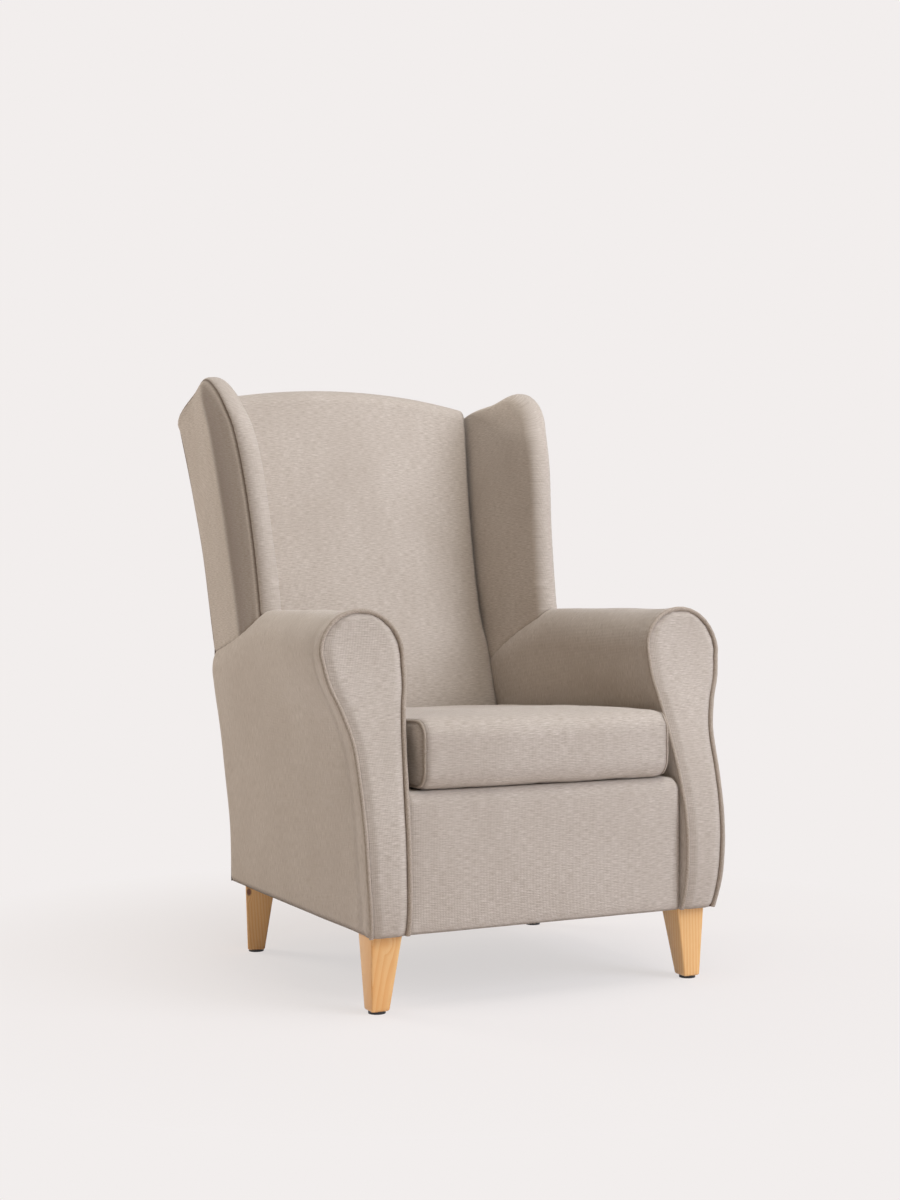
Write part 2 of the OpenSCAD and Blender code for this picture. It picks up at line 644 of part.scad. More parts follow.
// Middle of the wing at a height and a share of its depth from the rear
flare_from_share = 0.75;
function wing_at(z, share) = wing_x(z) + share * share * (wing_toe
    + wing_flare * ease(((z - arm_top_z) / wing_rise - flare_from_share) / (1 - flare_from_share)));
// One section of the wing, from its rear on the outer side, round the rim, to its inner side
function wing_section(t, pad, end_in) =
    let (a = spine(t), b = rim(t), full = norm(b - a), dir = (b - a) / full, l = full - pad,
        r = min(wing_front_t / 2 - pad, l * 0.8), half = function (d)
            mix(wing_rear_t / 2, wing_front_t / 2, clamp(d / (full - r))) - pad,
        at = function (d, k) let (p = a + dir * d) [wing_at(p[1], d / full) + k, p[0], p[1]])
    concat([for (k = [0 : 3]) let (d = (l - r) * k / 4) at(d, half(d))],
        [for (k = [0 : 6]) let (q = 90 - 30 * k) at(l - r + r * cos(q), half(l - r) * sin(q))],
        [for (k = [3 : -1 : 0]) let (d = mix(min(end_in, (l - r) / 2), l - r, k / 4)) at(d, -half(d))]);
wing_rows = steps(14);
module wing_cover(side) color("tan") from_front() on_side(side)
    slab([for (t = wing_rows) wing_section(t, 0, back_t - back_pad_t)],
        [for (t = wing_rows) wing_section(t, wing_pad_t, back_t - back_pad_t)]);
module wing_cover_left() wing_cover(-1);
module wing_cover_right() wing_cover(1);

// Thin board inside the wing, fixed to the rear post
wing_board_in = 30;
wing_board_top = 290;
module wing_board(side) color("wheat") from_front() on_side(side) {
    grid = [for (t = steps(9)) let (z = mix(arm_top_z, arm_top_z + wing_board_top, t),
            a = [rear_y(z) - post_off - soft_gap, z], c = rim(t * rim_shares[6][0]), l = norm(c - a))
        [for (k = steps(5)) let (d = k * (1 - wing_board_in / l), p = a + (c - a) * d)
            [wing_at(p[1], d), p[0], p[1]]]];
    slab([for (r = grid) [for (p = r) p + [wing_board_t / 2, 0, 0]]],
        [for (r = grid) [for (p = r) p - [wing_board_t / 2, 0, 0]]]);
}
module wing_board_left() wing_board(-1);
module wing_board_right() wing_board(1);

// Back: a swelling front face that rolls over the crest
function back_x_at(z) = wing_x(z) - wing_rear_t / 2 - wing_gap;
crown_rise_h = 150;
function back_front_y(z, u) = rear_y(z) - back_t
    - mix(back_foot_crown, back_crown, ease((z - tuck_z) / crown_rise_h)) * (1 - u * u);
back_foot_z = clip_top_z + soft_gap;
function back_path(u) =
    let (zt = back_top_z - arch_drop * u * u, zc = zt - crest_r, yf = back_front_y(zc, u),
        yr = rear_y(zc), cy = (yf + yr) / 2)
    concat([for (t = steps(10)) let (z = mix(back_foot_z, zc, t)) [back_front_y(z, u), z]],
        [for (i = [1 : 7]) let (a = 180 - 180 * i / 8)
            [cy + (yr - yf) / 2 * cos(a) + rake_slope * crest_r * sin(a) / 2, zc + crest_r * sin(a)]],
        [[yr, zc]]);
function across(path, u) = [for (p = path) [u * back_x_at(p[1]), p[0], p[1]]];
back_columns = [for (t = steps(10)) 2 * t - 1];
// End wall of the crest, above the rear corners of the wings
crest_end_z = arm_top_z + wing_corner_h;
module crest_end() {
    ring = [for (p = back_path(1)) if (p[1] > crest_end_z)
        [min(p[0], rear_y(p[1]) - board_off), p[1]]];
    side_plank(back_x_at(crest_end_z) - back_pad_t, back_pad_t,
        concat([[back_front_y(crest_end_z, 1), crest_end_z]], ring,
            [[rear_y(crest_end_z) - board_off, crest_end_z]]));
}
module inside_back_cover() color("tan") from_front() {
    slab([for (u = back_columns) across(back_path(u), u)],
        [for (u = back_columns) across(aside(back_path(u), back_pad_t), u)]);
    for (side = [-1, 1]) on_side(side) crest_end();
}

foam_side_in = back_pad_t + soft_gap;
web_off = board_off + board_t + hole_gap;
foam_off = web_off + 2 * web_t + 2 * hole_gap;
module back_foam() color("khaki") from_front() {
    columns = [for (t = steps(8)) 2 * t - 1];
    top = crest_r + crest_clear;
    rows = function (u) heights(back_rail_z, back_top_z - arch_drop * u * u - top);
    slab([for (u = columns) [for (z = rows(u)) [u * (back_x_at(z) - foam_side_in),
            back_front_y(z, u) + back_pad_t / cos(rake) + 2 * soft_gap, z]]],
        [for (u = columns) [for (z = rows(u)) [u * (back_x_at(z) - foam_side_in), rear_y(z) - foam_off, z]]]);
}

// Webbing: upright strips on the rails, and level strips in front of them
web_pitch = 140;
level_web_zs = [for (k = [1 : 3]) mix(back_rail_z + back_rail_h, crest_z, k / 4)];
module back_webbing() color("saddlebrown") from_front() {
    for (x = [-web_pitch, 0, web_pitch]) side_plank(x - web_w / 2, web_w,
        ribbon(back_rail_z + back_rail_h / 4, crest_z + back_rail_h / 2, web_off, web_off + web_t));
    for (z = level_web_zs) side_plank(soft_gap - frame_x, 2 * (frame_x - soft_gap),
        ribbon(z, z + web_w, web_off + web_t + hole_gap, web_off + 2 * web_t + hole_gap));
}

// Panel on the rear, as wide as the arms below and the wings above
panel_in = 3;
panel_blend = 100;
panel_top_gap = 2;
function panel_x(z) = mix(side_x, wing_x(z) + wing_rear_t / 2,
    ease((z - arm_top_z + seam_drop + panel_blend / 2) / panel_blend)) - panel_in;
function panel_top(u) = crest_at(u * panel_x(arm_top_z + wing_corner_h)) - crest_r - panel_top_gap;
function panel_grid(off) = [for (t = steps(8)) let (u = 2 * t - 1)
    [for (z = heights(hem_z, panel_top(u))) [u * panel_x(z), rear_y(z) - off, z]]];
module outside_back_panel() color("rosybrown") from_front() slab(panel_grid(panel_t), panel_grid(0));

// Front border: padding on the front seat rail, rounded over the deck edge
module front_border() color("tan") from_front()
    side_plank(-deck_x, deck_w, concat([[border_in, hem_z]],
        [for (t = steps(6)) let (a = 180 - 90 * t)
            [border_in + border_r + border_r * cos(a), deck_z - border_r + border_r * sin(a)]],
        [[border_end_y, deck_z], [border_end_y, clip_top_z + soft_gap],
            [border_in + border_t, clip_top_z + soft_gap], [border_in + border_t, hem_z]]));

dust_t = 1.5;
dust_x = outer_x(0, 0) - arm_pad_t - 2 * soft_gap;
module dust_cover() color("black") from_front() difference() {
    translate([-dust_x, front_rail_y, base_z + plate_t - dust_t - soft_gap])
        cube([2 * dust_x, body_d - board_off - front_rail_y, dust_t]);
    plate_places() translate([-soft_gap, -soft_gap, 0])
        cube([plate_side + 2 * soft_gap, plate_side + 2 * soft_gap, leg_h + plate_t]);
}

// Seat deck: felt on the springs, foam and cloth above
module deck_layer(z, t) translate([-deck_x, border_end_y + soft_gap, z])
    cube([deck_w, deck_end_y - border_end_y - soft_gap, t]);
felt_z = clip_top_z + soft_gap;
deck_foam_z = felt_z + felt_t + soft_gap;
module spring_felt() color("gray") from_front() deck_layer(felt_z, felt_t);
module deck_foam() color("khaki") from_front() deck_layer(deck_foam_z, deck_foam_t);
module deck_cloth() color("dimgray") from_front() deck_layer(deck_z - cloth_t, cloth_t);

// Zigzag springs from the front rail to the rear rail
spring_y0 = front_rail_y + rail_t / 2;
spring_y1 = rear_rail_y + rail_t / 2;
spring_xs = [for (i = [0 : spring_count - 1]) (i - (spring_count - 1) / 2) * deck_w / (spring_count + 0.5)];
bend_steps = 3;
module seat_springs() color("silver") from_front() for (x = spring_xs)
    translate([x, 0, frame_top_z + clip_wall + clip_play]) linear_extrude(wire_d) {
        n = spring_bends * bend_steps;
        line = [for (t = steps(n)) [(spring_w - wire_d) / 2 * cos(180 * spring_bends * t),
            mix(spring_y0, spring_y1, t)]];
        polygon(concat(aside(line, wire_d / 2), reversed(aside(line, -wire_d / 2))));
    }
module spring_clips() color("dimgray") from_front() for (x = spring_xs, k = [-1, 1])
    translate([x - k * (spring_w - wire_d) / 2, k < 0 ? spring_y0 : spring_y1, frame_top_z])
        difference() {
            translate([-clip_w / 2, -clip_d / 2, 0]) cube([clip_w, clip_d, clip_h]);
            translate([-wire_d / 2 - clip_side_play, -clip_d, clip_wall])
                cube([wire_d + 2 * clip_side_play, 2 * clip_d, wire_d + 2 * clip_play]);
        }

// Cushion: a plan with drawn-in corners, rounded at its seams, crowned on top
cushion_low = deck_z + 2 * soft_gap;
side_bulge_share = 0.006;
front_bow = 2;
edge_r = 16;
cushion_mid_y = cushion_d / 2 - cushion_front;
function cushion_plan(inset) =
    let (ax = cushion_w / 2 - cushion_draw - inset,
        ay = cushion_d / 2 / (1 + side_bulge_share) - front_bow - inset, r = cushion_r - inset / 2,
        bow = [for (t = steps(3)) 2 * t - 1])
    [for (q = [0 : 3]) let (turned = q % 2 == 1, a = turned ? ay : ax, b = turned ? ax : ay,
            d = turned ? front_bow : cushion_draw)
        each concat([for (v = bow) turn(q, [a + d * (1 - v * v), v * (b - r)])],
            [for (k = [1 : 3]) turn(q, [a - r + r * cos(22.5 * k), b - r + r * sin(22.5 * k)])])];
function turn(q, p) = q == 0 ? p : turn(q - 1, [-p[1], p[0]]);
// Rows of plan scale and height
function cushion_levels(inset) =
    let (low = cushion_low + inset, top = cushion_low + cushion_h - inset,
        f = 2 * edge_r / cushion_w, e = edge_r - inset)
    concat([for (s = [0.02, 0.6]) [s, low]],
        [for (k = [0 : 3]) [1 - f + f * sin(30 * k), low + e - e * cos(30 * k)]],
        [for (k = [1 : 3]) [1 + side_bulge_share * sin(45 * k), mix(low + e, top - e, k / 4)]],
        [for (k = [0 : 3]) [1 - f + f * cos(30 * k), top - e + e * sin(30 * k) + cushion_crown
            * (1 - (1 - f + f * cos(30 * k)) ^ 2)]],
        [for (s = [0.8, 0.6, 0.4, 0.2, 0.02]) [s, top + cushion_crown * (1 - s * s)]]);
module cushion_form(inset) translate([0, cushion_mid_y, 0]) tube([for (l = cushion_levels(inset))
    [for (p = cushion_plan(inset)) [p[0] * l[0], p[1] * l[0], l[1]]]]);
module cushion_cover() color("tan") from_front() difference() {
    cushion_form(0);
    cushion_form(cover_t);
}
module cushion_core() color("khaki") from_front() cushion_form(cover_t + soft_gap);

// Zip on the rear of the cushion: tape with its coil, slider, and pull on the slider's bridge
zip_z = cushion_low + cushion_h / 2;
tape_h = 24;
tape_t = 1.5;
coil_h = 4;
coil_t = 1.5;
zip_play = 0.2;
zip_y = cushion_mid_y + cushion_d / 2 + soft_gap;
slider_w = 10;
slider_t = 4;
slider_h = 11;
slider_x = -zip_len / 2 + 2 * slider_w;
lug_t = 1;
lug_in = 2;
pull_pin_r = 0.7;
pull_eye_r = 0.9;
pull_rim = 1.2;
pull_len = 13;
pull_w = 7;
pull_t = 1.2;
slider_y = zip_y + tape_t + zip_play;
pull_y = slider_y + slider_t + pull_eye_r + pull_rim + zip_play;
module zip_tape() color("dimgray") from_front() {
    translate([-zip_len / 2, zip_y, zip_z - tape_h / 2]) cube([zip_len, tape_t, tape_h]);
    translate([-zip_len / 2, zip_y + tape_t, zip_z - coil_h / 2]) cube([zip_len, coil_t, coil_h]);
}
module zip_slider() color("silver") from_front() translate([slider_x, slider_y, zip_z]) {
    difference() {
        translate([-slider_w / 2, 0, -slider_h / 2]) cube([slider_w, slider_t, slider_h]);
        translate([-slider_w, -over, -coil_h / 2 - zip_play])
            cube([2 * slider_w, over + coil_t, coil_h + 2 * zip_play]);
    }
    for (k = [0, 1]) mirror([k, 0, 0]) translate([lug_in, slider_t, -pull_rim])
        cube([lug_t, pull_y - slider_y - slider_t + pull_pin_r, 2 * pull_rim]);
    translate([-lug_in - lug_t, pull_y - slider_y, 0]) rotate([0, 90, 0])
        cylinder(r = pull_pin_r, h = 2 * (lug_in + lug_t), $fn = round_fn);
}
module zip_pull() color("silver") from_front() translate([slider_x, pull_y, zip_z])
    difference() {
        union() {
            translate([zip_play - lug_in, 0, 0]) rotate([0, 90, 0])
                cylinder(r = pull_eye_r + pull_rim, h = 2 * (lug_in - zip_play), $fn = round_fn);
            translate([zip_play - lug_in, 0, -pull_len / 2])
                cube([2 * (lug_in - zip_play), pull_t, pull_len / 2]);
            translate([-pull_w / 2, 0, -pull_len]) cube([pull_w, pull_t, pull_len / 2]);
        }
        translate([-pull_w, 0, 0]) rotate([0, 90, 0])
            cylinder(r = pull_eye_r, h = 2 * pull_w, $fn = round_fn);
    }

leg_front_left();
leg_front_right();
leg_rear_left();
leg_rear_right();
leg_glides();
leg_bolts();
leg_plates();
front_seat_rail();
rear_seat_rail();
side_seat_rail_left();
side_seat_rail_right();
corner_blocks();
front_post_left();
front_post_right();
arm_post_left();
arm_post_right();
arm_rail_left();
arm_rail_right();
scroll_board_left();
scroll_board_right();
rear_post_left();
rear_post_right();
lower_back_rail();
crest_board();
wing_board_left();
wing_board_right();
frame_screws();
seat_springs();
spring_clips();
spring_felt();
deck_foam();
deck_cloth();
back_webbing();
back_foam();
arm_foam_left();
arm_foam_right();
facing_board_left();
facing_board_right();
arm_cover_left();
arm_cover_right();
arm_facing_left();
arm_facing_right();
arm_piping_left();
arm_piping_right();
wing_cover_left();
wing_cover_right();
inside_back_cover();
outside_back_panel();
front_border();
dust_cover();
cushion_core();
cushion_cover();
zip_tape();
zip_slider();
zip_pull();
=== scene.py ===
"""Dress a wing-back fireside chair in woven cloth, with sewn seams and tapered pine legs.

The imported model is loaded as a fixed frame. Every soft surface is worked out with numpy from the
chair's own body lines and laid over the solid that it stands for. Lengths in the classes are
millimetres in the chair's own axes: x to the right of someone facing the chair, y from the front
plane to the rear, and z up from the floor. Meshes are written in metres, in the frame's place.
"""

import logging
import math
from dataclasses import dataclass
from enum import Enum

import bmesh
import bpy
import numpy as np
from mathutils import Matrix, Vector
from mathutils.bvhtree import BVHTree


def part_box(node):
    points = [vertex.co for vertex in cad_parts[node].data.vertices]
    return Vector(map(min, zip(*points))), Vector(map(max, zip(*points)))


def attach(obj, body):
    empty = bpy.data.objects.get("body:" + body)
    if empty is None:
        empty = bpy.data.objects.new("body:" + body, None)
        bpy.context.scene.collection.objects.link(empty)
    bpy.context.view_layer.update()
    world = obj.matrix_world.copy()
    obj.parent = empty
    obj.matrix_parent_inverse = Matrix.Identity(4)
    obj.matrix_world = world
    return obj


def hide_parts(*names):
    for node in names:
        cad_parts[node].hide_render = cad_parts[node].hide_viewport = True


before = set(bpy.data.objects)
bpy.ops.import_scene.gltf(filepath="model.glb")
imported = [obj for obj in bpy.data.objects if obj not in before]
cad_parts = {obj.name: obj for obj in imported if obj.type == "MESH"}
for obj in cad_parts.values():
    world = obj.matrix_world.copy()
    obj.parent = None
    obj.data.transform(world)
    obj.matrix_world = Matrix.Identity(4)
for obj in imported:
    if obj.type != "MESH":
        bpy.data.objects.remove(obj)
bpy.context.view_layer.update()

LOG = logging.getLogger("fireside_chair")
MM = 0.001
WEAVE_MAP = "weave"
# Attribute whose share blends painted shade into the cloth at seams, creases and hems
SEAM_SHADE_LAYER = "seam"
CHAIR = "chair"
CUSHION = "seat_cushion"
# Thickness of the covers, and the gap that keeps one skin clear of the next, in millimetres
COVER_T = 3.0
CLEAR = 0.6

Colour = tuple[float, float, float, float]
Socket = bpy.types.NodeSocket


class Side(Enum):
    """The two hands of the chair, as the sign of x."""

    LEFT = -1
    RIGHT = 1

    @property
    def label(self) -> str:
        """The word that the part names end in."""
        return self.name.lower()


# Numbers and curves


def mix(a: float | np.ndarray, b: float | np.ndarray, t: float | np.ndarray) -> np.ndarray:
    """Straight blend from a to b: a plus t times their difference.

    Args:
        a: value where t is 0.
        b: value where t is 1.
        t: share of the way.

    Returns:
        The blended value.
    """
    return a + (b - a) * t


def ease(t: float | np.ndarray) -> np.ndarray:
    """Smooth step: 3t squared less 2t cubed, with t held between 0 and 1.

    Args:
        t: share of the step.

    Returns:
        The eased share.
    """
    c = np.clip(t, 0.0, 1.0)
    return c * c * (3.0 - 2.0 * c)


def hill(x: np.ndarray, centre: float | np.ndarray, width: float) -> np.ndarray:
    """Bell curve: e to the power of minus the squared distance over the width.

    Args:
        x: where the curve is read.
        centre: where the bell is 1.
        width: distance at which it has fallen to about a third.

    Returns:
        Values from 0 to 1.
    """
    return np.exp(-(((x - centre) / width) ** 2))


def round_in(distance: np.ndarray, radius: float, depth: float) -> np.ndarray:
    """Quarter-round edge: depth times one less the root of one less the squared share of radius.

    Args:
        distance: distance from the edge.
        radius: where the rounding starts.
        depth: how far the edge itself sinks.

    Returns:
        The sink at each distance.
    """
    q = np.clip(1.0 - distance / radius, 0.0, 1.0)
    return depth * (1.0 - np.sqrt(np.maximum(1.0 - q * q, 0.0)))


def undulation(points: np.ndarray, wavelength: float, seed: int) -> np.ndarray:
    """Soft unevenness of stuffed cloth: a sum of eight sine waves that run in fixed directions.

    Args:
        points: points in millimetres, with x, y and z last.
        wavelength: mean length of the waves in millimetres.
        seed: picks the directions and phases.

    Returns:
        Values of about minus one to one, one for each point.
    """
    rng = np.random.default_rng(seed)
    ways = rng.normal(size=(8, 3))
    ways /= np.linalg.norm(ways, axis=1, keepdims=True)
    ways *= math.tau / wavelength * rng.uniform(0.7, 1.4, (8, 1))
    return np.sin(points @ ways.T + rng.uniform(0.0, math.tau, 8)).sum(axis=-1) / 4.0


@dataclass(frozen=True)
class SmoothTable:
    """A smooth curve through a table of keys and values."""

    keys: tuple[float, ...]
    values: tuple[float, ...]

    def at(self, key: np.ndarray) -> np.ndarray:
        """Cubic Hermite curve whose slope at each row is that of the chord of its neighbours.

        Args:
            key: keys to read at.

        Returns:
            The values there.
        """
        k, v = np.asarray(self.keys), np.asarray(self.values)
        low = np.maximum(np.arange(len(k)) - 1, 0)
        high = np.minimum(np.arange(len(k)) + 1, len(k) - 1)
        slopes = (v[high] - v[low]) / (k[high] - k[low])
        i = np.clip(np.searchsorted(k, key, side="left") - 1, 0, len(k) - 2)
        h = k[i + 1] - k[i]
        t = (key - k[i]) / h
        return (
            (2 * t**3 - 3 * t**2 + 1) * v[i]
            + (t**3 - 2 * t**2 + t) * slopes[i] * h
            + (3 * t**2 - 2 * t**3) * v[i + 1]
            + (t**3 - t**2) * slopes[i + 1] * h
        )


# Meshes


@dataclass
class Surface:
    """A grid of points, with its place on the cloth and its painted shade, which grows near seams.
    """

    points: np.ndarray
    cloth: np.ndarray
    seam: np.ndarray | None = None
    wrap: bool = False
    caps: bool = False


def grid_normals(points: np.ndarray) -> np.ndarray:
    """Unit normals of a grid: the cross product of its row and column differences.

    Args:
        points: rows by columns by three.

    Returns:
        Normals of the same shape.
    """
    cross = np.cross(np.gradient(points, axis=1), np.gradient(points, axis=0))
    return cross / np.maximum(np.linalg.norm(cross, axis=-1, keepdims=True), 1e-9)


def lengths_along(points: np.ndarray, axis: int) -> np.ndarray:
    """Running length along one axis of a grid, in metres.

    Args:
        points: rows by columns by three, in millimetres.
        axis: 0 runs along the rows' order, 1 along the columns'.

    Returns:
        Rows by columns.
    """
    step = np.linalg.norm(np.diff(points, axis=axis), axis=-1)
    run = np.cumsum(step, axis=axis)
    first = np.zeros_like(np.take(run, [0], axis=axis))
    return np.concatenate([first, run], axis=axis) * MM


def grid_faces(rows: int, cols: int, wrap: bool) -> tuple[np.ndarray, np.ndarray]:
    """Quads of a grid, and the corners that read its cloth coordinates.

    Args:
        rows: number of rows.
        cols: number of columns.
        wrap: whether the last column joins the first.

    Returns:
        Vertex numbers and cloth corner numbers, both in fours.
    """
    r = np.arange(rows - 1)[:, None]
    c = np.arange(cols if wrap else cols - 1)[None, :]
    n = (c + 1) % cols
    width = cols + int(wrap)
    quads = np.stack([r * cols + c, r * cols + n, (r + 1) * cols + n, (r + 1) * cols + c], -1)
    corners = np.stack(
        [r * width + c, r * width + c + 1, (r + 1) * width + c + 1, (r + 1) * width + c], -1
    )
    return quads.reshape(-1, 4), corners.reshape(-1, 4)


def plain_tube(points: np.ndarray) -> Surface:
    """A closed tube whose finish reads no cloth coordinates.

    Args:
        points: rows by columns by three.

    Returns:
        The tube.
    """
    rows, cols = points.shape[:2]
    return Surface(points, np.zeros((rows, cols + 1, 2)), wrap=True, caps=True)


def link_object(name: str, data: bpy.types.ID) -> bpy.types.Object:
    """Put a mesh, a lamp or a camera into the scene, at the origin.

    Args:
        name: name of the object.
        data: what it shows.

    Returns:
        The object.
    """
    obj = bpy.data.objects.new(name, data)
    bpy.context.scene.collection.objects.link(obj)
    return obj


def read_all(items: bpy.types.bpy_prop_collection, name: str, each: int = 3,
             kind: type = float) -> np.ndarray:
    """Read one property of all points, corners or faces of a mesh.

    Args:
        items: the mesh's points, corners or faces.
        name: the property.
        each: how many numbers it has for each of them.
        kind: type of the numbers.

    Returns:
        One row for each of them.
    """
    out = np.zeros(len(items) * each, dtype=kind)
    items.foreach_get(name, out)
    return out.reshape(-1, each)


def lay_on(mesh: bpy.types.Mesh, cloth: np.ndarray, seam: np.ndarray) -> None:
    """Write cloth coordinates and shares of painted seam shade onto a mesh.

    Args:
        mesh: the mesh.
        cloth: coordinates on the cloth in metres, one for each face corner.
        seam: share of painted shade, which grows near seams, one for each vertex.
    """
    layer = mesh.uv_layers.new(name=WEAVE_MAP)
    layer.data.foreach_set("uv", cloth.astype(np.float32).ravel())
    shade = mesh.attributes.new(SEAM_SHADE_LAYER, "FLOAT", "POINT")
    shade.data.foreach_set("value", seam.astype(np.float32).ravel())


def write_mesh(
    name: str,
    vertices: np.ndarray,
    faces: list[list[int]],
    cloth: np.ndarray,
    seam: np.ndarray,
) -> bpy.types.Object:
    """Put points, faces, cloth coordinates and seam shares into a new object at the origin.

    Args:
        name: name of the piece.
        vertices: points in metres.
        faces: vertex numbers of each face.
        cloth: coordinates on the cloth in metres, one for each face corner.
        seam: share of painted shade, which grows near seams, one for each vertex.

    Returns:
        The object, linked to the scene.
    """
    mesh = bpy.data.meshes.new(name)
    mesh.from_pydata(vertices.tolist(), [], faces)
    lay_on(mesh, cloth, seam)
    mesh.shade_smooth()
    mesh.update()
    return link_object(name, mesh)


def surface_object(
    name: str, surface: Surface, lines: "BodyLines", side: Side = Side.RIGHT
) -> bpy.types.Object:
    """Make a grid into an object whose faces look away from the middle of the grid.

    Args:
        name: name of the piece.
        surface: the grid, built for the right hand of the chair.
        lines: gives the place of the front plane in the frame.
        side: the left hand mirrors x.

    Returns:
        The object.
    """
    points = surface.points * np.array([side.value, 1.0, 1.0])
    rows, cols = points.shape[:2]
    quads, corners = grid_faces(rows, cols, surface.wrap)
    flat = points.reshape(-1, 3)
    a, b, c, d = (flat[quads[:, k]] for k in range(4))
    normals = np.cross(c - a, d - b)
    away = (a + b + c + d) / 4.0 - flat.mean(axis=0)
    way = -1 if float((normals * away).sum()) < 0.0 else 1
    faces = quads[:, ::way].tolist()
    cloth = [surface.cloth.reshape(-1, 2)[corners[:, ::way].ravel()]]
    if surface.caps:
        ends = np.arange(cols)[::-1], np.arange(cols) + (rows - 1) * cols
        faces += [end[::way].tolist() for end in ends]
        cloth += [np.zeros((2 * cols, 2))]
    seam = np.zeros(rows * cols) if surface.seam is None else surface.seam.ravel()
    return write_mesh(name, lines.placed(flat), faces, np.concatenate(cloth), seam)


def thicken(obj: bpy.types.Object, thickness: float) -> None:
    """Give a cloth surface its thickness, inwards, with closed rims.

    Args:
        obj: the piece.
        thickness: in millimetres.
    """
    wall = obj.modifiers.new("thickness", "SOLIDIFY")
    wall.thickness = thickness * MM
    wall.offset = -1.0
    wall.use_rim = True


def face_towards(obj: bpy.types.Object, axis: int, sign: int) -> None:
    """Make an almost flat piece face along an axis, whichever way its grid ran.

    Args:
        obj: the piece.
        axis: 1 for the depth, 2 for the height.
        sign: 1 to face the rear or up, -1 to face the front or down.
    """
    if sign * read_all(obj.data.polygons, "normal")[:, axis].sum() < 0:
        obj.data.flip_normals()


def sweep(
    path: np.ndarray, across: np.ndarray, over: np.ndarray, section: np.ndarray
) -> np.ndarray:
    """Carry a section along a path: path plus across and over times the section's two parts.

    Args:
        path: points of the path.
        across: unit vectors across it, one for each point.
        over: unit vectors square to both, one for each point.
        section: closed ring of pairs in millimetres, or one ring for each point.

    Returns:
        Rows by columns by three.
    """
    ring = np.broadcast_to(section, (len(path),) + section.shape[-2:])
    return (
        path[:, None, :]
        + across[:, None, :] * ring[..., 0:1]
        + over[:, None, :] * ring[..., 1:2]
    )


def ring(radius_a: float, radius_b: float, count: int) -> np.ndarray:
    """Points of an ellipse: cosine and sine of even turns, times the radii.

    Args:
        radius_a: half width.
        radius_b: half height.
        count: number of points.

    Returns:
        Pairs in millimetres.
    """
    a = np.arange(count) / count * math.tau
    return np.stack([radius_a * np.cos(a), radius_b * np.sin(a)], -1)


# Body lines


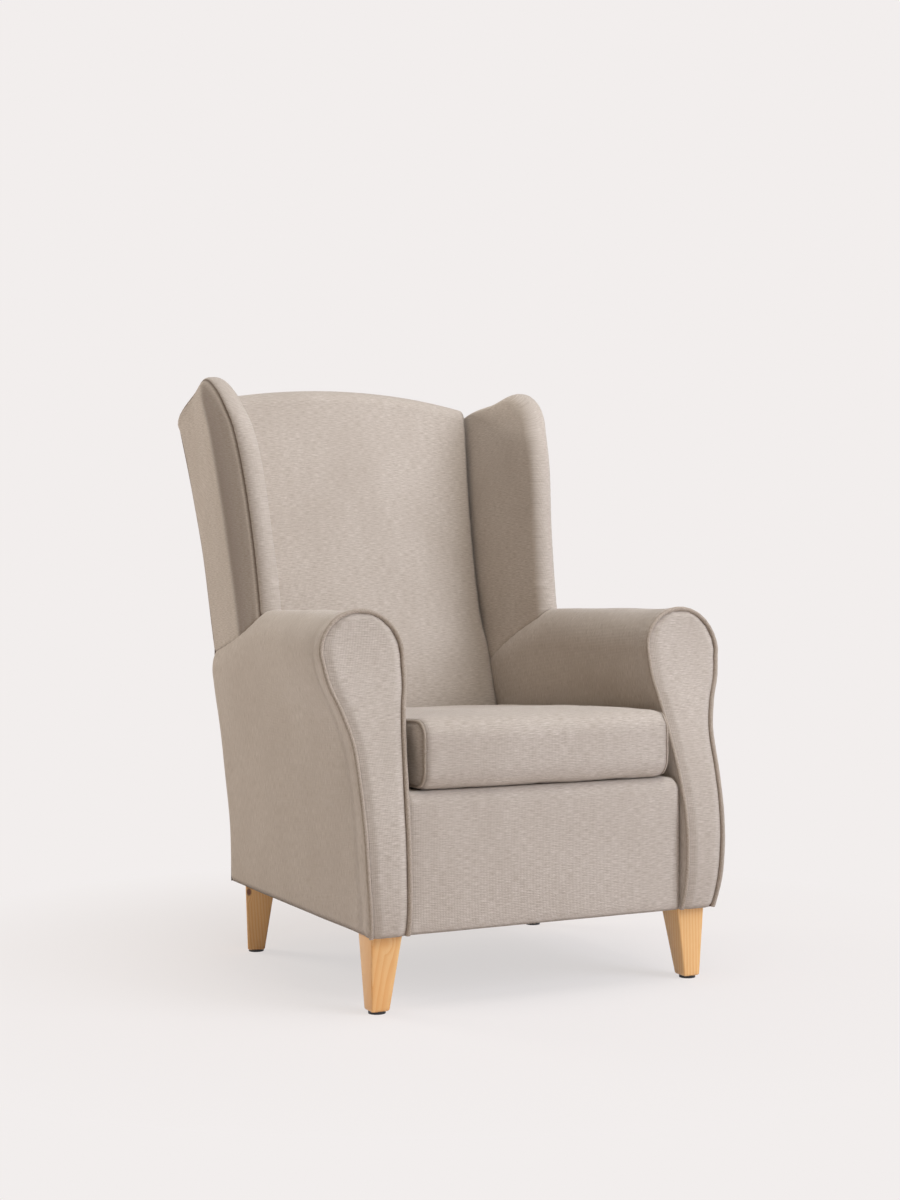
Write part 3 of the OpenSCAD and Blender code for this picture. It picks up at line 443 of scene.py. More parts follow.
@dataclass(frozen=True)
class BodyLines:
    """Sizes of the chair's body, and the lines that its surfaces follow.

    A name that ends in w, h, d, t or r is a width, a height, a depth, a thickness or a radius,
    and one that ends in x, y or z is a place on that axis.
    """

    body_d: float = 632.0
    seat_w: float = 498.0
    arm_w: float = 64.0
    arm_h: float = 492.0
    back_h: float = 926.0
    rake_h: float = 102.0
    rake: float = 17.2
    leg_h: float = 120.0
    scroll_r: float = 68.0
    arm_overhang: float = 47.0
    arm_tilt: float = 12.4
    front_bulge: float = 10.0
    hem_tuck: float = 14.0
    lean_h: float = 105.0
    arm_pad_t: float = 12.0
    arm_lining_t: float = 3.0
    piping_r: float = 3.5
    facing_crown: float = 5.0
    wing_in: float = 10.0
    wing_front: float = 495.0
    wing_peak_drop: float = 2.0
    wing_fall: float = 66.0
    wing_front_t: float = 45.0
    wing_rear_t: float = 72.0
    wing_splay: float = 26.0
    wing_toe: float = 7.0
    wing_flare: float = 12.0
    seam_drop: float = 60.0
    back_t: float = 56.0
    back_crown: float = 25.0
    back_foot_crown: float = 10.0
    arch_drop: float = 26.0
    crest_r: float = 30.0
    panel_t: float = 6.0
    edge_gap: float = 0.8
    deck_h: float = 216.0
    deck_gap: float = 7.0
    deck_cloth_t: float = 2.0
    deck_foam_t: float = 23.0
    felt_t: float = 2.0
    rake_blend: float = 30.0
    gap: float = 0.3

    @property
    def slope(self) -> float:
        """Rise of depth with height on the raked rear."""
        return math.tan(math.radians(self.rake))

    @property
    def arm_in_x(self) -> float:
        """Half the clear width between the arms."""
        return self.seat_w / 2

    @property
    def side_x(self) -> float:
        """Half the width of the body at the flat of its sides."""
        return self.arm_in_x + self.arm_w

    @property
    def frame_x(self) -> float:
        """Where the inner faces of the posts stand."""
        return self.arm_in_x + self.arm_pad_t + self.arm_lining_t

    @property
    def arm_top_z(self) -> float:
        """Height of the arm tops."""
        return self.leg_h + self.arm_h

    @property
    def back_top_z(self) -> float:
        """Height of the crest."""
        return self.leg_h + self.back_h

    @property
    def deck_z(self) -> float:
        """Height of the seat deck."""
        return self.leg_h + self.deck_h

    @property
    def deck_x(self) -> float:
        """Half the width of the seat deck."""
        return self.seat_w / 2 - self.deck_gap

    @property
    def tuck_z(self) -> float:
        """Height below the deck where covers tuck in beside the seat."""
        return self.deck_z - self.deck_cloth_t - self.deck_foam_t - self.felt_t - 3 * self.gap

    @property
    def hem_z(self) -> float:
        """Lowest height of the covers."""
        return self.leg_h + self.gap

    @property
    def scroll_x(self) -> float:
        """Middle of the scroll across the chair."""
        return self.side_x + self.arm_overhang - self.scroll_r

    @property
    def scroll_share(self) -> float:
        """Share of the arm's height at which the scroll has its middle."""
        return 1.0 - self.scroll_r / self.arm_h

    @property
    def scroll_z(self) -> float:
        """Middle of the scroll's height."""
        return self.arm_top_z - self.scroll_r

    @property
    def wing_rise(self) -> float:
        """Height of the wings above the arm tops."""
        return self.back_h - self.arm_h - self.wing_peak_drop

    @property
    def wing_corner_h(self) -> float:
        """Height of the rear corners of the wings above the arm tops."""
        return self.wing_rise - self.wing_fall

    @property
    def cover_off(self) -> float:
        """How far ahead of the rear face the covers of arms and wings end."""
        return self.panel_t + self.edge_gap

    @property
    def front_y(self) -> float:
        """Place of the front plane in the frame, which puts the middle of the depth at 0."""
        rear = float(self.rear(self.back_top_z - self.crest_r))
        return -(rear - self.front_bulge - self.facing_crown) / 2

    def rear(self, z: np.ndarray | float) -> np.ndarray:
        """Depth of the rear face: upright at the foot, then a soft ramp times the slope.

        Args:
            z: heights.

        Returns:
            Depths.
        """
        d = z - self.leg_h - self.rake_h
        return self.body_d + self.slope * (d + np.sqrt(d * d + self.rake_blend**2)) / 2

    def arm_front(self, z: np.ndarray | float) -> np.ndarray:
        """Depth of the arm fronts: an eased lean, less the bulge, plus the tuck at the hem.

        Args:
            z: heights.

        Returns:
            Depths.
        """
        lean = math.tan(math.radians(self.arm_tilt)) * (self.arm_h - self.lean_h)
        t = (z - self.leg_h - self.lean_h) / (self.arm_h - self.lean_h)
        hem = 1.0 - np.clip((z - self.leg_h) / self.lean_h * 1.4, 0.0, 1.0)
        return lean * ease(t) - self.front_bulge + self.hem_tuck * hem * hem

    def wing_x(self, z: np.ndarray | float) -> np.ndarray:
        """Middle of the wings across the chair: it splays out with the height.

        Args:
            z: heights.

        Returns:
            Half widths.
        """
        share = np.clip((z - self.arm_top_z) / self.wing_corner_h, 0.0, 1.0)
        return self.frame_x + self.wing_in + self.wing_splay * share**1.6

    def back_x(self, z: np.ndarray | float) -> np.ndarray:
        """Half the width of the back between the wings.

        Args:
            z: heights.

        Returns:
            Half widths.
        """
        return self.wing_x(z) - self.wing_rear_t / 2 - CLEAR

    def placed(self, points: np.ndarray) -> np.ndarray:
        """Points of the chair's own axes in the frame's, in metres.

        Args:
            points: millimetres, with x, y and z last.

        Returns:
            Metres, in the frame.
        """
        return (points + np.array([0.0, self.front_y, 0.0])) * MM


# Finishes


def linear(hexadecimal: str) -> Colour:
    """Turn an sRGB colour written as six hexadecimal digits into linear light.

    Args:
        hexadecimal: such as "BDB0A0".

    Returns:
        Linear red, green, blue and an alpha of one.
    """
    s = [int(hexadecimal[i : i + 2], 16) / 255.0 for i in (0, 2, 4)]
    r, g, b = (c / 12.92 if c <= 0.04045 else ((c + 0.055) / 1.055) ** 2.4 for c in s)
    return r, g, b, 1.0


def add(tree: bpy.types.NodeTree, kind: str, feeds: dict | None = None,
        **settings: object) -> bpy.types.Node:
    """Add a node, set its options, and fill or link its inputs.

    Args:
        tree: the material's nodes.
        kind: Blender's name of the node type.
        feeds: input names or numbers, with a value or another node's output for each.
        **settings: options of the node.

    Returns:
        The node.
    """
    made = tree.nodes.new(kind)
    for option, value in settings.items():
        setattr(made, option, value)
    for key, value in (feeds or {}).items():
        if isinstance(value, Socket):
            tree.links.new(value, made.inputs[key])
        else:
            made.inputs[key].default_value = value
    return made


def join(tree: bpy.types.NodeTree, operation: str, first: Socket, second: Socket | float) -> Socket:
    """Join two values with the tree's Math node.

    Args:
        tree: the material's nodes.
        operation: Blender's name of the sum, product or larger of the two.
        first: first value.
        second: second value.

    Returns:
        The result.
    """
    return add(tree, "ShaderNodeMath", {0: first, 1: second}, operation=operation).outputs[0]


def blend(tree: bpy.types.NodeTree, share: Socket, first: Socket | Colour,
          second: Socket | Colour) -> Socket:
    """Blend two colours by a share, with the tree's Mix node.

    Args:
        tree: the material's nodes.
        share: an output from 0 to 1.
        first: colour or output at 0.
        second: colour or output at 1.

    Returns:
        The blended colour's output.
    """
    feeds = {0: share, 6: first, 7: second}
    return add(tree, "ShaderNodeMix", feeds, data_type="RGBA").outputs[2]


def new_material(
    name: str, **sockets: float | Colour
) -> tuple[bpy.types.Material, bpy.types.NodeTree]:
    """Start a node material with values set on its shader's own sockets.

    Args:
        name: name of the material.
        **sockets: socket names with underscores for spaces, and their values.

    Returns:
        The material and its node tree.
    """
    material = bpy.data.materials.new(name)
    material.use_nodes = True
    shader = material.node_tree.nodes["Principled BSDF"]
    for key, value in sockets.items():
        shader.inputs[key.replace("_", " ")].default_value = value
    return material, material.node_tree


def finish_with(tree: bpy.types.NodeTree, **feeds: Socket) -> None:
    """Link outputs to the shader's sockets.

    Args:
        tree: the material's nodes.
        **feeds: socket names with underscores for spaces, and the outputs for them.
    """
    shader = tree.nodes["Principled BSDF"]
    for key, value in feeds.items():
        tree.links.new(value, shader.inputs[key.replace("_", " ")])


def in_place(tree: bpy.types.NodeTree) -> Socket:
    """The point's place in the room, which the finishes of solid pieces are drawn in.

    Args:
        tree: the material's nodes.

    Returns:
        Coordinates in metres.
    """
    return add(tree, "ShaderNodeTexCoord").outputs["Object"]


def stretched_noise(
    tree: bpy.types.NodeTree,
    vector: Socket,
    size: tuple[float, float, float],
    detail: float = 3.0,
    roughness: float = 0.6,
) -> Socket:
    """Noise whose grain has a given size along each axis.

    Args:
        tree: the material's nodes.
        vector: coordinates in metres.
        size: length of the grain along each axis, in millimetres.
        detail: octaves.
        roughness: share of the finer octaves.

    Returns:
        The noise's value.
    """
    scale = tuple(1.0 / (s * MM) for s in size)
    mapped = add(tree, "ShaderNodeMapping", {"Vector": vector, "Scale": scale}).outputs[0]
    feeds = {"Vector": mapped, "Scale": 1.0, "Detail": detail, "Roughness": roughness}
    return add(tree, "ShaderNodeTexNoise", feeds).outputs[0]


def wave_scale(spacing: float) -> float:
    """Scale at which a Wave node's lines repeat: a full turn over 20 times the spacing in metres.

    Args:
        spacing: distance from line to line, in millimetres.

    Returns:
        The node's scale.
    """
    return math.tau / 20.0 / (spacing * MM)


def spread(tree: bpy.types.NodeTree, value: Socket, low: float, high: float,
           to_low: float = 0.0, to_high: float = 1.0) -> Socket:
    """Map one range of values onto another, held at its ends.

    Args:
        tree: the material's nodes.
        value: the value.
        low: value that becomes to_low.
        high: value that becomes to_high.
        to_low: result at low.
        to_high: result at high.

    Returns:
        The mapped value.
    """
    return add(tree, "ShaderNodeMapRange", {"Value": value, "From Min": low, "From Max": high,
        "To Min": to_low, "To Max": to_high}).outputs[0]


def layered(tree: bpy.types.NodeTree, base: Colour,
            *layers: tuple[Socket, float, float, float, Colour]) -> Socket:
    """Lay tints over a colour, each growing as its value passes from one number to another.

    Args:
        tree: the material's nodes.
        base: the colour underneath.
        *layers: for each tint its value, where it starts, where it is full, how much of it shows
            then, and its colour.

    Returns:
        The layered colour.
    """
    for value, start, full, most, tint in layers:
        base = blend(tree, spread(tree, value, start, full, 0.0, most), base, tint)
    return base


def bump(tree: bpy.types.NodeTree, height: Socket, strength: float, distance: float) -> Socket:
    """Turn a height into the slopes that catch the light.

    Args:
        tree: the material's nodes.
        height: the height, from about 0 to 1.
        strength: share of it that shows.
        distance: height of a whole step, in millimetres.

    Returns:
        The normal.
    """
    feeds = {"Height": height, "Strength": strength, "Distance": distance * MM}
    return add(tree, "ShaderNodeBump", feeds).outputs[0]


@dataclass(frozen=True)
class WovenCloth:
    """Melange furnishing cloth of wool and linen look, plain woven from slubbed yarn.

    It gives the eye short lighter and darker flecks along the weft, a dry matt face with a faint
    bloom where it turns away, and painted shade, blended in by the seam attribute, in the grooves
    and creases where it is drawn into a seam.
    """

    name: str = "slubbed_taupe_plain_weave"
    light: str = "DCD3CA"
    mid: str = "C9BFB4"
    shade: str = "B3A79A"
    # Colour of the painted shade that the seam attribute blends in
    seam: str = "563F2B"
    slub: tuple[float, float] = (14.0, 1.25)
    thread: float = 2.6
    roughness: float = 0.92
    sheen: float = 0.28
    relief: float = 0.4

    def material(self) -> bpy.types.Material:
        """Flecks and threads read from the cloth's own coordinates.

        Returns:
            The material.
        """
        material, tree = new_material(
            self.name, Roughness=self.roughness, Sheen_Weight=self.sheen, Sheen_Roughness=0.5,
            Specular_IOR_Level=0.25,
        )
        cloth = add(tree, "ShaderNodeUVMap", uv_map=WEAVE_MAP).outputs["UV"]
        light, mid, shade, seam = map(linear, (self.light, self.mid, self.shade, self.seam))
        # Slubs are about 1 mm thick in the yarn, and drawn a quarter thicker so that they show
        long, thick = self.slub
        fleck = stretched_noise(tree, cloth, (long, thick, 1.0), 2.0, 0.7)
        cross = stretched_noise(tree, cloth, (thick * 0.9, long * 0.5, 1.0), 2.0, 0.6)
        patch = stretched_noise(tree, in_place(tree), (95.0, 95.0, 150.0), 3.0, 0.5)
        colour = layered(tree, shade, (fleck, 0.30, 0.52, 1.0, mid),
            (fleck, 0.50, 0.72, 1.0, light), (cross, 0.52, 0.78, 0.25, light),
            (patch, 0.35, 0.7, 0.3, shade))
        # Painted shade: the seam attribute blends the cloth towards the seam colour in grooves and
        # creases
        near = add(tree, "ShaderNodeAttribute", attribute_name=SEAM_SHADE_LAYER).outputs["Fac"]
        colour = blend(tree, near, colour, seam)
        # Threads are 1.2 mm apart in the cloth, and drawn coarser so that they catch the light
        waves = [
            add(tree, "ShaderNodeTexWave", {"Vector": cloth, "Scale": wave_scale(self.thread),
                "Distortion": 1.2, "Detail": 1.0, "Detail Scale": 0.6},
                bands_direction=way).outputs["Fac"]
            for way in ("X", "Y")
        ]
        height = join(tree, "ADD", join(tree, "MULTIPLY", *waves), fleck)
        finish_with(tree, Base_Color=colour, Normal=bump(tree, height, self.relief, 0.8))
        return material


@dataclass(frozen=True)
class SawnWood:
    """Softwood seen along the grain, planed, and clear lacquered where it shows.

    It gives the eye warm growth lines a few millimetres apart that bow round dark knots, and a
    soft shine from the lacquer. The knots' radius is a share of the gap between them.
    """

    name: str
    pale: str
    dark: str
    knot: str
    lines: float = 4.5
    knot_gap: float = 95.0
    knot_r: float = 0.045
    bend: float = 7.0
    bow: float = 9.0
    coat: float = 0.0
    roughness: float = 0.5

    def material(self) -> bpy.types.Material:
        """Rings about an axis beside the piece, bent by a noise that is long along the grain.

        Returns:
            The material.
        """
        material, tree = new_material(
            self.name, Roughness=self.roughness, Coat_Weight=self.coat, Coat_Roughness=0.18
        )
        place = in_place(tree)
        pale, dark, knot = map(linear, (self.pale, self.dark, self.knot))
        long = add(tree, "ShaderNodeMapping", {"Vector": place, "Scale": (1.0, 1.0, 0.05),
            "Location": (0.13, 0.07, 0.0)}).outputs[0]
        cells = add(tree, "ShaderNodeMapping", {"Vector": place, "Scale": (1.0, 1.0, 0.62)})
        knots = add(tree, "ShaderNodeTexVoronoi", {"Vector": cells.outputs[0],
            "Scale": 1.0 / (self.knot_gap * MM), "Randomness": 1.0}).outputs["Distance"]
        near = spread(tree, knots, self.knot_r * 3.2, self.knot_r * 0.8)
        bend = stretched_noise(tree, place, (26.0, 26.0, 150.0), 2.0, 0.5)
        phase = join(tree, "ADD", join(tree, "MULTIPLY", bend, self.bend),
            join(tree, "MULTIPLY", near, self.bow))
        rings = add(tree, "ShaderNodeTexWave", {"Vector": long, "Scale": wave_scale(self.lines),
            "Phase Offset": phase}, wave_type="RINGS", rings_direction="Z",
            wave_profile="SAW").outputs["Fac"]
        pores = stretched_noise(tree, place, (1.4, 1.4, 22.0), 2.0, 0.6)
        tone = stretched_noise(tree, place, (60.0, 60.0, 220.0), 2.0, 0.5)
        colour = layered(tree, pale, (rings, 0.35, 1.0, 0.6, dark), (pores, 0.55, 0.8, 0.35, dark),
            (tone, 0.4, 0.7, 0.3, dark), (knots, self.knot_r * 1.25, self.knot_r * 0.7, 1.0, knot))
        finish_with(tree, Base_Color=colour, Normal=bump(tree, pores, 0.15, 0.3))
        return material


@dataclass(frozen=True)
class CutSheet:
    """Stuff that shows a fine even speckle: plywood, felt, foam, webbing and moulded plastic.

    It gives the eye a dull face, mottled by the size of its grain.
    """

    name: str
    pale: str
    dark: str
    grain: tuple[float, float, float] = (3.0, 3.0, 3.0)
    roughness: float = 0.9
    relief: float = 0.3
    sheen: float = 0.0
    specular: float = 0.3

    def material(self) -> bpy.types.Material:
        """Two noises, one of the grain's size and one much larger, between two colours.

        Returns:
            The material.
        """
        material, tree = new_material(
            self.name, Roughness=self.roughness, Sheen_Weight=self.sheen,
            Specular_IOR_Level=self.specular,
        )
        place = in_place(tree)
        dark = linear(self.dark)
        speck = stretched_noise(tree, place, self.grain, 3.0, 0.6)
        broad = stretched_noise(tree, place, (70.0, 70.0, 70.0), 2.0, 0.5)
        colour = layered(tree, linear(self.pale), (speck, 0.35, 0.7, 1.0, dark),
            (broad, 0.4, 0.7, 0.25, dark))
        finish_with(tree, Base_Color=colour, Normal=bump(tree, speck, self.relief, 0.5))
        return material


@dataclass(frozen=True)
class PlatedSteel:
    """Drawn or pressed steel, zinc plated or oil blackened.

    It gives the eye a grey metal gloss, broken by fine drawing lines and dull spots.
    """

    name: str
    colour: str
    roughness: float = 0.35

    def material(self) -> bpy.types.Material:
        """A metal whose roughness wanders with a small noise.

        Returns:
            The material.
        """
        material, tree = new_material(self.name, Metallic=1.0)
        place = in_place(tree)
        drawn = stretched_noise(tree, place, (0.8, 12.0, 12.0))
        spots = stretched_noise(tree, place, (9.0, 9.0, 9.0))
        shine = linear(self.colour)
        dull = tuple(c * 0.7 for c in shine[:3]) + (1.0,)
        colour = layered(tree, shine, (spots, 0.45, 0.8, 1.0, dull))
        rough = spread(tree, drawn, 0.3, 0.7, self.roughness - 0.08, self.roughness + 0.12)
        finish_with(tree, Base_Color=colour, Roughness=rough)
        return material


class Slot(Enum):
    """The record's material slots, each with the finish that it is given."""

    taupe_fabric = WovenCloth()
    taupe_piping = WovenCloth(name="bias_cut_taupe_weave", slub=(5.0, 1.5), relief=0.4,
        light="CBBFB3", mid="B8AB9D", shade="A09282")
    lacquered_pine = SawnWood("clear_lacquered_pine", "FFCF8E", "F0A856", "7C4416",
        coat=0.35, roughness=0.38)
    frame_pine = SawnWood("planed_spruce", "E6C99B", "CDA36D", "7A5233", roughness=0.7)
    plywood = CutSheet("birch_plywood", "DDBF92", "C19C6A", (2.0, 30.0, 30.0), 0.7)
    black_plastic = CutSheet("moulded_polyethylene", "26262A", "1A1A1C", (1.0, 1.0, 1.0), 0.45,
        0.15, specular=0.5)
    zinc_steel = PlatedSteel("zinc_plated_steel", "C4C7CA", 0.35)
    spring_steel = PlatedSteel("oil_blackened_spring_steel", "5A5C60", 0.4)
    zip_metal = PlatedSteel("brushed_nickel_plate", "C9C5BD", 0.28)
    grey_felt = CutSheet("needled_wool_felt", "8E8C88", "636160", (1.5, 1.5, 4.0), 1.0, 0.5, 0.2)
    foam = CutSheet("polyurethane_foam", "E8DDB4", "D6C88F", (1.2, 1.2, 1.2), 0.95, 0.5)
    webbing = CutSheet("jute_and_rubber_webbing", "B08A5A", "7C5C38", (8.0, 2.0, 1.2), 0.9, 0.6)
    lining_cloth = WovenCloth(name="black_cambric_lining", light="3C3B3B", mid="2B2A2A",
        shade="1F1E1E", seam="0C0C0C", slub=(4.0, 1.2), thread=2.0, sheen=0.1)
    zip_tape = WovenCloth(name="polyester_zip_tape", light="AA9E8F", mid="978B7C", shade="7F7466",
        seam="3A332C", slub=(2.0, 1.0), thread=1.6, sheen=0.1)


class Wardrobe:
    """Makes each finish once and gives it to pieces and to the frame's own parts."""

    def __init__(self) -> None:
        """Start with no finish made."""
        self.made: dict[Slot, bpy.types.Material] = {}

    def finish(self, slot: Slot) -> bpy.types.Material:
        """The material of a slot, made when it is first asked for.

        Args:
            slot: the slot.

        Returns:
            Its material.
        """
        if slot not in self.made:
            self.made[slot] = slot.value.material()
        return self.made[slot]

    def dress(
        self,
        obj: bpy.types.Object,
        slot: Slot,
        body: str = CHAIR,
        stands_for: tuple[str, ...] = (),
        fill: float | None = None,
    ) -> bpy.types.Object:
        """Give a new piece its material, its body and the solids that it stands for.

        Args:
            obj: the piece.
            slot: the slot of its finish.
            body: the body that it moves with.
            stands_for: CAD nodes that it hides.
            fill: how tightly it is stuffed, for a padded piece; not used.

        Returns:
            The piece.
        """
        obj.data.materials.append(self.finish(slot))
        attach(obj, body)
        if stands_for:
            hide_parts(*stands_for)
        LOG.info("%s: %d vertices on %s", obj.name, len(obj.data.vertices), body)
        return obj

    def repaint(self, nodes: dict[str, Slot]) -> None:
        """Give carried-over parts of the frame their better finish.

        Args:
            nodes: names of CAD nodes, with their slots.
        """
        for name, slot in nodes.items():
            obj = bpy.data.objects[name]
            for held in obj.material_slots:
                held.material = self.finish(slot)
            LOG.info("%s: finish %s", name, self.finish(slot).name)


# Upholstery


@dataclass(frozen=True)
class RolledArms:
    """The arms: covers that sweep from the seat over a scroll to the hem, fronts and piping.

    The two tables give the share of the overhang at each share of the arm's height.
    """

    lines: BodyLines
    wardrobe: Wardrobe
    inner: SmoothTable = SmoothTable(
        (0, 0.16, 0.33, 0.47, 0.59, 0.69, 0.77, 0.862),
        (0.12, 0, 0, 0.16, 0.38, 0.64, 0.92, 1),
    )
    outer: SmoothTable = SmoothTable(
        (0, 0.16, 0.33, 0.47, 0.59, 0.69, 0.77, 0.862),
        (-0.13, 0.07, 0.14, 0.17, 0.22, 0.49, 0.81, 1),
    )
    inner_rear: float = 0.3
    outer_rear: float = 0.15
    fade_end: float = 0.7
    rear_in: float = 22.0
    turn_in: tuple[float, ...] = (3.0, 7.0, 12.0)
    dip: float = 2.4
    swell: float = 1.3
    pucker: float = 0.7
    pucker_gap: float = 13.0
    pleat: float = 1.3
    pleat_gap: float = 7.5
    uneven: float = 0.9
    hem_dip: float = 3.0

    def depth(self, z: np.ndarray, s: np.ndarray) -> np.ndarray:
        """Depth along the arm at a share of its length, from the piping to the rear.

        Args:
            z: heights.
            s: shares of the length.

        Returns:
            Depths.
        """
        start = self.lines.arm_front(z) + self.lines.piping_r + self.lines.edge_gap
        return mix(start, self.lines.rear(z) - self.lines.cover_off, s)

    def drop(self, s: np.ndarray) -> np.ndarray:
        """How far the arm top has fallen along the seam with the wing, found in three passes.

        Args:
            s: shares of the length.

        Returns:
            Drops in millimetres.
        """
        top, seam = self.lines.arm_top_z, self.lines.seam_drop
        foot = float(self.lines.rear(top - seam)) - self.lines.cover_off
        slope = seam / (foot - self.lines.wing_front)
        fall = np.zeros_like(s)
        for _ in range(3):
            fall = slope * np.maximum(0.0, self.depth(top - fall, s) - self.lines.wing_front)
        return fall

    def width(self, h: np.ndarray, s: np.ndarray, table: SmoothTable, inside: bool) -> np.ndarray:
        """Half width of one side of the arm: its flat, plus its hang times the table's share.

        Args:
            h: shares of the arm's height.
            s: shares of its length.
            table: the side's shares of overhang.
            inside: the inner side, or else the outer.

        Returns:
            Distances from the middle of the chair.
        """
        b = self.lines
        value = table.at(h * table.keys[-1] / b.scroll_share)
        fade = mix(1.0, self.inner_rear if inside else self.outer_rear, ease(s / self.fade_end))
        if inside:
            return b.arm_in_x - (b.arm_in_x - b.scroll_x + b.scroll_r) * value * fade
        return b.side_x + b.arm_overhang * value * fade

    def outline(
        self, s: np.ndarray, z_in: float | np.ndarray, z_out: float, counts: tuple[int, int, int]
    ) -> tuple[np.ndarray, np.ndarray]:
        """Outline across the arm: up its inner side, over a half ellipse, down its outer side.

        Args:
            s: column of shares of the length.
            z_in: lowest height inside, one for all or one for each share.
            z_out: lowest height outside.
            counts: points up, over and down.

        Returns:
            Half widths and heights, one row for each share.
        """
        b = self.lines
        full = b.arm_h - self.drop(s)
        share = b.scroll_share
        zb = b.leg_h + share * full
        up = np.linspace(0.0, 1.0, counts[0])[None, :]
        angle = np.linspace(math.pi, 0.0, counts[1] + 2)[None, 1:-1]
        z1 = mix(z_in, zb, up)
        z3 = mix(zb, z_out, np.linspace(0.0, 1.0, counts[2])[None, :])
        x1 = self.width((z1 - b.leg_h) / full, s, self.inner, True)
        x3 = self.width((z3 - b.leg_h) / full, s, self.outer, False)
        left, right = x1[:, -1:], x3[:, :1]
        x2 = (left + right) / 2 + (right - left) / 2 * np.cos(angle)
        z2 = zb + (1.0 - share) * full * np.sin(angle)
        return np.concatenate([x1, x2, x3], 1), np.concatenate([z1, z2, z3], 1)

    def top_at(self, x: np.ndarray, y: np.ndarray) -> np.ndarray:
        """Height of the arm's rounded top: its half ellipse read at a place seen from above.

        Args:
            x: distances from the middle of the chair.
            y: depths, one for each.

        Returns:
            Heights.
        """
        b = self.lines
        start = float(self.depth(np.array(b.arm_top_z), np.zeros(1))[0])
        end = float(self.depth(np.array(b.arm_top_z - b.seam_drop), np.ones(1))[0])
        s = np.clip((y - start) / (end - start), 0.0, 1.0)
        share = b.scroll_share
        full = b.arm_h - self.drop(s)
        left = self.width(share + 0 * s, s, self.inner, True)
        right = self.width(share + 0 * s, s, self.outer, False)
        # Short of the very edge, where the ellipse stands upright
        off = np.clip((x - (left + right) / 2) / ((right - left) / 2), -0.985, 0.985)
        return b.leg_h + share * full + (1.0 - share) * full * np.sqrt(1.0 - off * off)

    def cover(self) -> Surface:
        """The cover's outer face, moved outwards by a sum of small forms.

        They are a dip into the piping and a swell behind it, puckers that fade from there, short
        pleats above the outer hem, the hem's own dip, and the stuffing's unevenness.

        Returns:
            The grid.
        """
        b = self.lines
        s = (np.linspace(0.0, 1.0, 120) ** 1.35)[:, None]
        # Just behind the piping the cover's inner side runs on down, beside the border
        ahead = 1.0 - ease((self.depth(np.array(b.tuck_z), s) - 36.0) / 18.0)
        x, z = self.outline(s, mix(b.tuck_z, b.hem_z, ahead), b.hem_z, (44, 46, 44))
        side = ease((x - b.frame_x) / (b.scroll_x - b.frame_x))
        y = mix(b.arm_front(z) + CLEAR, b.rear(z) - mix(self.rear_in, b.cover_off, side), s)
        points = np.stack([x, y, z], -1)
        out = grid_normals(points)
        out = out * np.sign((out * (points - points.mean(axis=(0, 1)))).sum())
        run = lengths_along(points, 1) / MM
        behind, hem = y - b.arm_front(z), np.abs(z - b.hem_z)
        top = ease((z - b.scroll_z + 30.0) / 60.0)
        outer = ease((x - b.side_x + 30.0) / 20.0) * (1.0 - top)
        gathers = np.sin(run * math.tau / self.pucker_gap + 1.7 * np.sin(run / 31.0))
        pleats = np.sin(y / self.pleat_gap + 0.05 * z)
        pleats = pleats * hill(z, b.hem_z + 22.0, 34.0) * hill(behind, 26.0, 34.0)
        rise = -self.dip * hill(behind, 0.0, 4.0) + self.swell * hill(behind, 16.0, 13.0)
        rise += self.pucker * gathers * hill(behind, 5.0, 15.0) * mix(0.35, 1.0, top)
        rise += self.pleat * pleats * outer
        rise += self.uneven * undulation(points, 170.0, 3)
        rise -= self.hem_dip * hill(hem, 0.0, 4.0) * outer
        points = points + out * rise[..., None]
        points[..., 2] = np.maximum(points[..., 2], b.hem_z)
        # Painted shade in the groove behind the piping and along the outer hem
        seam = 0.75 * hill(behind, 0.0, 2.6) + 0.5 * hill(hem, 0.0, 2.0) * outer
        # At the rear the cover turns in over the post, ahead of the rear panel
        turn_in = np.array(self.turn_in)[:, None, None]
        points = np.concatenate([points, points[-1:] - out[-1:] * turn_in])
        points[..., 2] = np.maximum(points[..., 2], b.hem_z)
        more = ((0, len(turn_in)), (0, 0))
        seam, y = np.pad(seam, more, mode="edge"), np.pad(y, more, mode="edge")
        y[-len(turn_in):] += turn_in[..., 0]
        cloth = np.stack([lengths_along(points, 1), y * MM], -1)
        return Surface(points, cloth, np.clip(seam, 0, 1))

